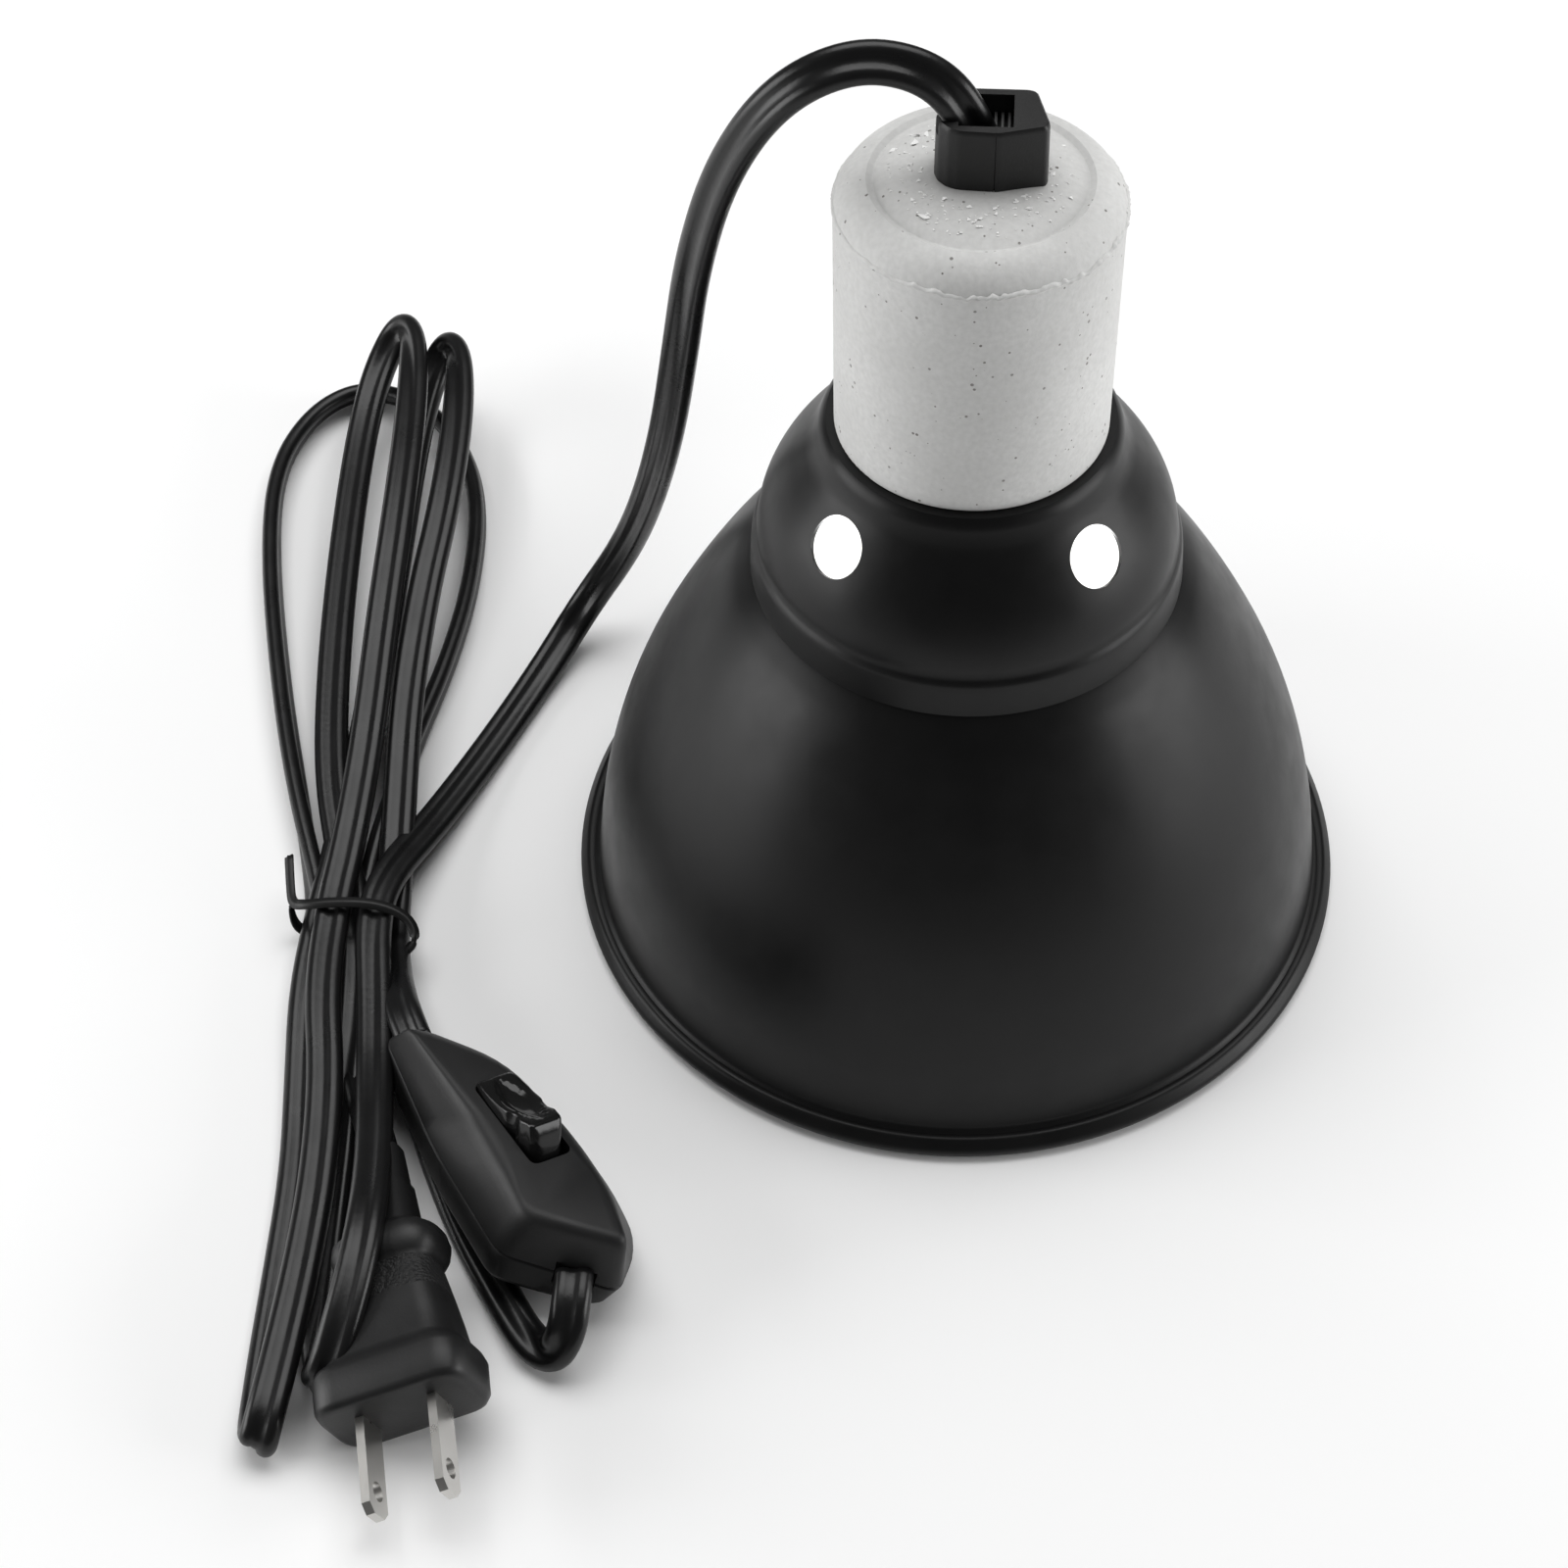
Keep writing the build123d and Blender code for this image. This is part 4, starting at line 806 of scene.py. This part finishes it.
def add_tie():
    """The twist tie: a thin ribbon round the bundle with a wire ridge down its middle."""
    line = spline_points("twist_tie_line", TIE_LINE)
    half, thin = TIE_WIDTH / 2, TIE_THICKNESS / 2
    ridge = thin * 1.7
    outline = [(-half, -thin * 0.6), (-half * 0.3, -thin * 0.7), (0, -ridge), (half * 0.3, -thin * 0.7)]
    outline += [(half, -thin * 0.6), (half, thin * 0.6), (half * 0.3, thin * 0.7), (0, ridge)]
    outline += [(-half * 0.3, thin * 0.7), (-half, thin * 0.6)]
    sections = []
    for i, point in enumerate(line):
        along = (line[min(i + 1, len(line) - 1)] - line[max(i - 1, 0)]).normalized()
        wide = (TIE_WIDE_SIDE - along * along.dot(TIE_WIDE_SIDE)).normalized()
        normal = wide.cross(along)
        sections.append([point + wide * x + normal * y for x, y in outline])
    tie = loft("twist_tie_ribbon", sections)
    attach(tie, "lamp")
    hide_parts("twist_tie")
    return tie


# ---------------------------------------------------------------- plug
PLUG_FACE = Vector(MOUNTS["mains_plug"]["pos_m"])
PLUG_FORWARD = Vector(MOUNTS["mains_plug"]["axis"]).normalized()
PLUG_LEAN = radians(20)
# Distance behind the face, sideways offset, width, height and corner radius of each section.
PLUG_SECTIONS = [
    (0.0, 0.0, 24.2, 14.0, 4.2),
    (-0.3, 0.0, 25.6, 15.3, 4.8),
    (-1.4, 0.0, 26.8, 16.3, 5.2),
    (-6.4, 0.0, 27.0, 16.4, 5.2),
    (-7.9, 0.0, 25.8, 15.5, 5.0),
    (-8.6, 0.0, 23.6, 14.4, 4.8),
    (-9.6, 0.0, 22.8, 14.0, 4.8),
    (-14.0, 0.1, 21.0, 13.4, 4.8),
    (-18.6, 0.2, 18.8, 12.6, 4.6),
    (-22.0, 0.3, 17.0, 12.0, 4.4),
    (-24.6, 0.3, 15.8, 11.6, 4.4),
    (-25.4, 0.3, 17.0, 12.6, 5.0),
    (-26.4, 0.3, 18.6, 13.8, 6.2),
    (-28.4, 0.3, 19.4, 14.2, 6.6),
    (-30.4, 0.2, 18.6, 13.6, 6.2),
    (-31.6, 0.2, 15.6, 11.8, 5.2),
    (-32.2, 0.2, 12.0, 9.4, 4.0),
    (-33.0, 0.2, 11.0, 8.6, 3.4),
    (-40.6, 0.0, 9.8, 7.2, 2.8),
    (-41.2, 0.0, 8.9, 6.6, 2.6),
    (-48.2, -0.2, 8.0, 5.4, 2.2),
    (-49.0, -0.2, 7.0, 4.4, 1.8),
]
# The rough band lies between these two sections.
ROUGH_BAND = (8, 10)


def add_plug():
    """The moulded plug: flange, waisted grip with a rough band, round collar and stepped neck."""
    side = PLUG_FORWARD.cross(Vector((0, 0, -1))).normalized()
    level_up = PLUG_FORWARD.cross(side)
    up = level_up * cos(PLUG_LEAN) - side * sin(PLUG_LEAN)
    across = side * cos(PLUG_LEAN) + level_up * sin(PLUG_LEAN)
    sections = []
    for distance, offset, width, height, corner in PLUG_SECTIONS:
        outline = rounded_outline(box_corners(width, height), corner, 8)
        centre = PLUG_FACE + (PLUG_FORWARD * distance + across * offset) * MM
        sections.append([centre + (across * p.x + up * p.y) * MM for p in outline])
    plug = loft("plug_skin", sections)
    sharpen(plug, 50)
    per_ring = len(sections[0])
    for polygon in plug.data.polygons:
        if ROUGH_BAND[0] * per_ring <= polygon.index < ROUGH_BAND[1] * per_ring:
            polygon.material_index = 1
    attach(plug, "lamp")
    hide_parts("plug_body")
    return plug


# ---------------------------------------------------------------- materials


class Surface:
    """A material being built: a Principled shader fed by procedural detail in the piece's own axes."""

    def __init__(self, name, roughness, metallic=0.0, specular=0.5):
        self.material = bpy.data.materials.new(name)
        self.material.use_nodes = True
        self.tree = self.material.node_tree
        self.shader = self.tree.nodes["Principled BSDF"]
        self.shader.inputs["Metallic"].default_value = metallic
        self.shader.inputs["Specular IOR Level"].default_value = specular
        self.roughness = roughness
        self.place = self.tree.nodes.new("ShaderNodeTexCoord").outputs["Object"]
        self.relief = None

    def node(self, kind, **inputs):
        """A node of this kind with some of its inputs set or linked."""
        made = self.tree.nodes.new(kind)
        for key, value in inputs.items():
            socket = made.inputs[key.replace("_", " ")]
            if isinstance(value, bpy.types.NodeSocket):
                self.tree.links.new(value, socket)
            else:
                socket.default_value = value
        return made

    def noise(self, scale, detail=4.0, stretch=None):
        """Noise of this scale, in features per metre."""
        place = self.place
        if stretch:
            place = self.node("ShaderNodeMapping", Vector=self.place, Scale=stretch).outputs["Vector"]
        made = self.node("ShaderNodeTexNoise", Vector=place, Scale=scale, Detail=detail)
        return made.outputs["Fac"]

    def ramp(self, value, low, high, low_value=0.0, high_value=1.0):
        """value, from low to high, mapped to other values."""
        made = self.node("ShaderNodeMapRange", Value=value)
        made.inputs["From Min"].default_value = low
        made.inputs["From Max"].default_value = high
        made.inputs["To Min"].default_value = low_value
        made.inputs["To Max"].default_value = high_value
        return made.outputs["Result"]

    def mix(self, amount, first, second):
        """A colour between first and second."""
        made = self.tree.nodes.new("ShaderNodeMix")
        made.data_type = "RGBA"
        self.tree.links.new(amount, made.inputs["Factor"])
        for socket, value in ((made.inputs[6], first), (made.inputs[7], second)):
            if isinstance(value, bpy.types.NodeSocket):
                self.tree.links.new(value, socket)
            else:
                socket.default_value = (*value, 1)
        return made.outputs[2]

    def bump(self, height, strength, distance):
        """Adds relief of this depth in metres."""
        made = self.node("ShaderNodeBump", Height=height, Strength=strength, Distance=distance)
        if self.relief:
            self.tree.links.new(self.relief, made.inputs["Normal"])
        self.relief = made.outputs["Normal"]

    def plain(self, color):
        """One colour, a little lighter in places."""
        return self.mix(self.noise(60.0), color, tuple(c * 1.25 for c in color))

    def done(self, color):
        """The finished material, with this colour, a faint change of gloss and its relief."""
        gloss = self.ramp(self.noise(140.0), 0.3, 0.7, self.roughness - 0.04, self.roughness + 0.04)
        self.tree.links.new(color, self.shader.inputs["Base Color"])
        self.tree.links.new(gloss, self.shader.inputs["Roughness"])
        self.tree.links.new(self.relief, self.shader.inputs["Normal"])
        return self.material


def enamel():
    """Satin black stove enamel with a very fine orange peel."""
    surface = Surface("black_enamel", 0.38, specular=0.22)
    surface.bump(surface.noise(1400.0), 0.12, 0.00005)
    return surface.done(surface.plain((0.004, 0.004, 0.0041)))


def bright_aluminium():
    """Spun aluminium with fine turning marks round the axis."""
    surface = Surface("bright_aluminium", 0.28, metallic=1.0)
    surface.bump(surface.noise(900.0, stretch=(0.2, 0.2, 6.0)), 0.2, 0.00005)
    return surface.done(surface.plain((0.8, 0.8, 0.79)))


def porcelain():
    """Unglazed pale ceramic with fine grain and dark specks."""
    surface = Surface("porcelain", 0.62, specular=0.35)
    cloudy = surface.mix(surface.ramp(surface.noise(45.0), 0.3, 0.7), (0.58, 0.58, 0.57), (0.68, 0.68, 0.67))
    cells = surface.node("ShaderNodeTexVoronoi", Vector=surface.place, Scale=640.0)
    size = surface.ramp(surface.noise(300.0, 1.0), 0.42, 0.68, 0.0, 0.19)
    speck = surface.node("ShaderNodeMath", Value=cells.outputs["Distance"])
    speck.operation = "LESS_THAN"
    surface.tree.links.new(size, speck.inputs[1])
    specked = surface.mix(speck.outputs[0], cloudy, (0.12, 0.11, 0.1))
    grain = surface.ramp(surface.noise(1100.0, 6.0), 0.3, 0.7, 0.0, 0.5)
    grained = surface.mix(grain, specked, (0.5, 0.5, 0.49))
    surface.bump(surface.noise(1500.0, 3.0), 0.3, 0.00012)
    surface.bump(surface.noise(120.0, 2.0), 0.25, 0.0003)
    return surface.done(grained)


def glaze():
    """The white glaze of the crumbs."""
    surface = Surface("white_glaze", 0.4)
    surface.bump(surface.noise(900.0, 2.0), 0.4, 0.0002)
    return surface.done(surface.plain((0.8, 0.8, 0.79)))


def moulded_black(name, color, roughness, grain, depth):
    """Moulded black plastic with a fine grain."""
    surface = Surface(name, roughness, specular=0.35)
    surface.bump(surface.noise(grain, 3.0), 0.35, depth)
    return surface.done(surface.plain(color))


def plated_steel():
    """Dull zinc plating with blotches."""
    surface = Surface("zinc_steel", 0.38, metallic=1.0)
    surface.bump(surface.noise(2200.0), 0.2, 0.00004)
    return surface.done(surface.plain((0.55, 0.55, 0.53)))


def rough_vinyl():
    """The band of the plug with a coarse gripping texture."""
    surface = Surface("rough_vinyl", 0.55, specular=0.3)
    surface.bump(surface.noise(1500.0, 1.0), 1.0, 0.0004)
    return surface.done(surface.plain((0.008, 0.008, 0.0082)))


def nickel():
    """Bright nickel plate, lightly brushed along the blades."""
    surface = Surface("nickel_blades", 0.3, metallic=1.0)
    surface.bump(surface.noise(1800.0, stretch=(1.0, 0.12, 1.0)), 0.25, 0.00004)
    return surface.done(surface.plain((0.5, 0.49, 0.47)))


def brass():
    """Stamped brass, a little tarnished."""
    surface = Surface("contact_brass", 0.3, metallic=1.0)
    blotches = surface.ramp(surface.noise(400.0), 0.45, 0.75)
    tarnish = surface.mix(blotches, (0.72, 0.52, 0.22), (0.4, 0.27, 0.12))
    surface.bump(surface.noise(2500.0), 0.2, 0.00003)
    return surface.done(tarnish)


def shell_metal():
    """Bright rolled aluminium of the screw shell."""
    surface = Surface("shell_metal", 0.25, metallic=1.0)
    surface.bump(surface.noise(1200.0, stretch=(1, 1, 0.2)), 0.2, 0.00004)
    return surface.done(surface.plain((0.76, 0.75, 0.72)))


def all_materials():
    """One material for each slot of the record."""
    return {
        "black_enamel": enamel(),
        "porcelain": porcelain(),
        "zinc_steel": plated_steel(),
        "shell_metal": shell_metal(),
        "contact_brass": brass(),
        "core_insulation": moulded_black("core_insulation", (0.01, 0.01, 0.01), 0.4, 1500.0, 0.00004),
        "black_nylon": moulded_black("black_nylon", (0.006, 0.006, 0.006), 0.42, 2600.0, 0.00006),
        "switch_casing": moulded_black("switch_casing", (0.008, 0.008, 0.0082), 0.5, 3200.0, 0.00005),
        "rocker_gloss": moulded_black("rocker_gloss", (0.006, 0.006, 0.006), 0.14, 1200.0, 0.00002),
        "plug_vinyl": moulded_black("plug_vinyl", (0.008, 0.008, 0.0082), 0.42, 2200.0, 0.00006),
        "nickel_blades": nickel(),
        "cord_vinyl": moulded_black("cord_vinyl", (0.005, 0.005, 0.0052), 0.3, 900.0, 0.00008),
        "tie_plastic": moulded_black("tie_plastic", (0.007, 0.007, 0.007), 0.42, 1800.0, 0.00005),
    }


def dress(piece, *materials):
    """Gives the piece these materials and no others."""
    piece.data.materials.clear()
    for material in materials:
        piece.data.materials.append(material)


def dress_in_order(piece, *materials):
    """Gives the piece these materials and keeps which of them each face has."""
    order = [polygon.material_index for polygon in piece.data.polygons]
    dress(piece, *materials)
    piece.data.polygons.foreach_set("material_index", order)


add_camera()
add_studio()
MATERIALS = all_materials()
dome, dome_rim = add_dome()
dress_in_order(dome, MATERIALS["black_enamel"], bright_aluminium())
dress(dome_rim, MATERIALS["black_enamel"])
dress(add_vent_cap(), MATERIALS["black_enamel"])
casing = add_casing()
for shell in casing:
    dress(shell, MATERIALS["switch_casing"])
rocker = add_rocker()
dress(rocker, MATERIALS["rocker_gloss"])
dress(add_tie(), MATERIALS["tie_plastic"])
relief, *teeth = add_relief()
dress(relief, MATERIALS["black_nylon"])
# The teeth get a lighter grey than the black nylon: a painted highlight on the ribs down in the shaded well.
painted_highlight_nylon = moulded_black("painted_highlight_nylon", (0.07, 0.07, 0.07), 0.35, 2600.0, 0.00004)
for tooth in teeth:
    dress(tooth, painted_highlight_nylon)
dress(add_parting_ridge(), MATERIALS["porcelain"])
dress(add_crown(), MATERIALS["porcelain"])
dress(add_crumbs(), glaze())
plug = add_plug()
dress_in_order(plug, MATERIALS["plug_vinyl"], rough_vinyl())
for cord in add_cords():
    dress(cord, MATERIALS["cord_vinyl"])
SLOTS = {part["node"]: part["material_slot"] for part in frame["record"]["subparts"]}
for name, node in frame["nodes"].items():
    dress(node, MATERIALS[SLOTS[name]])
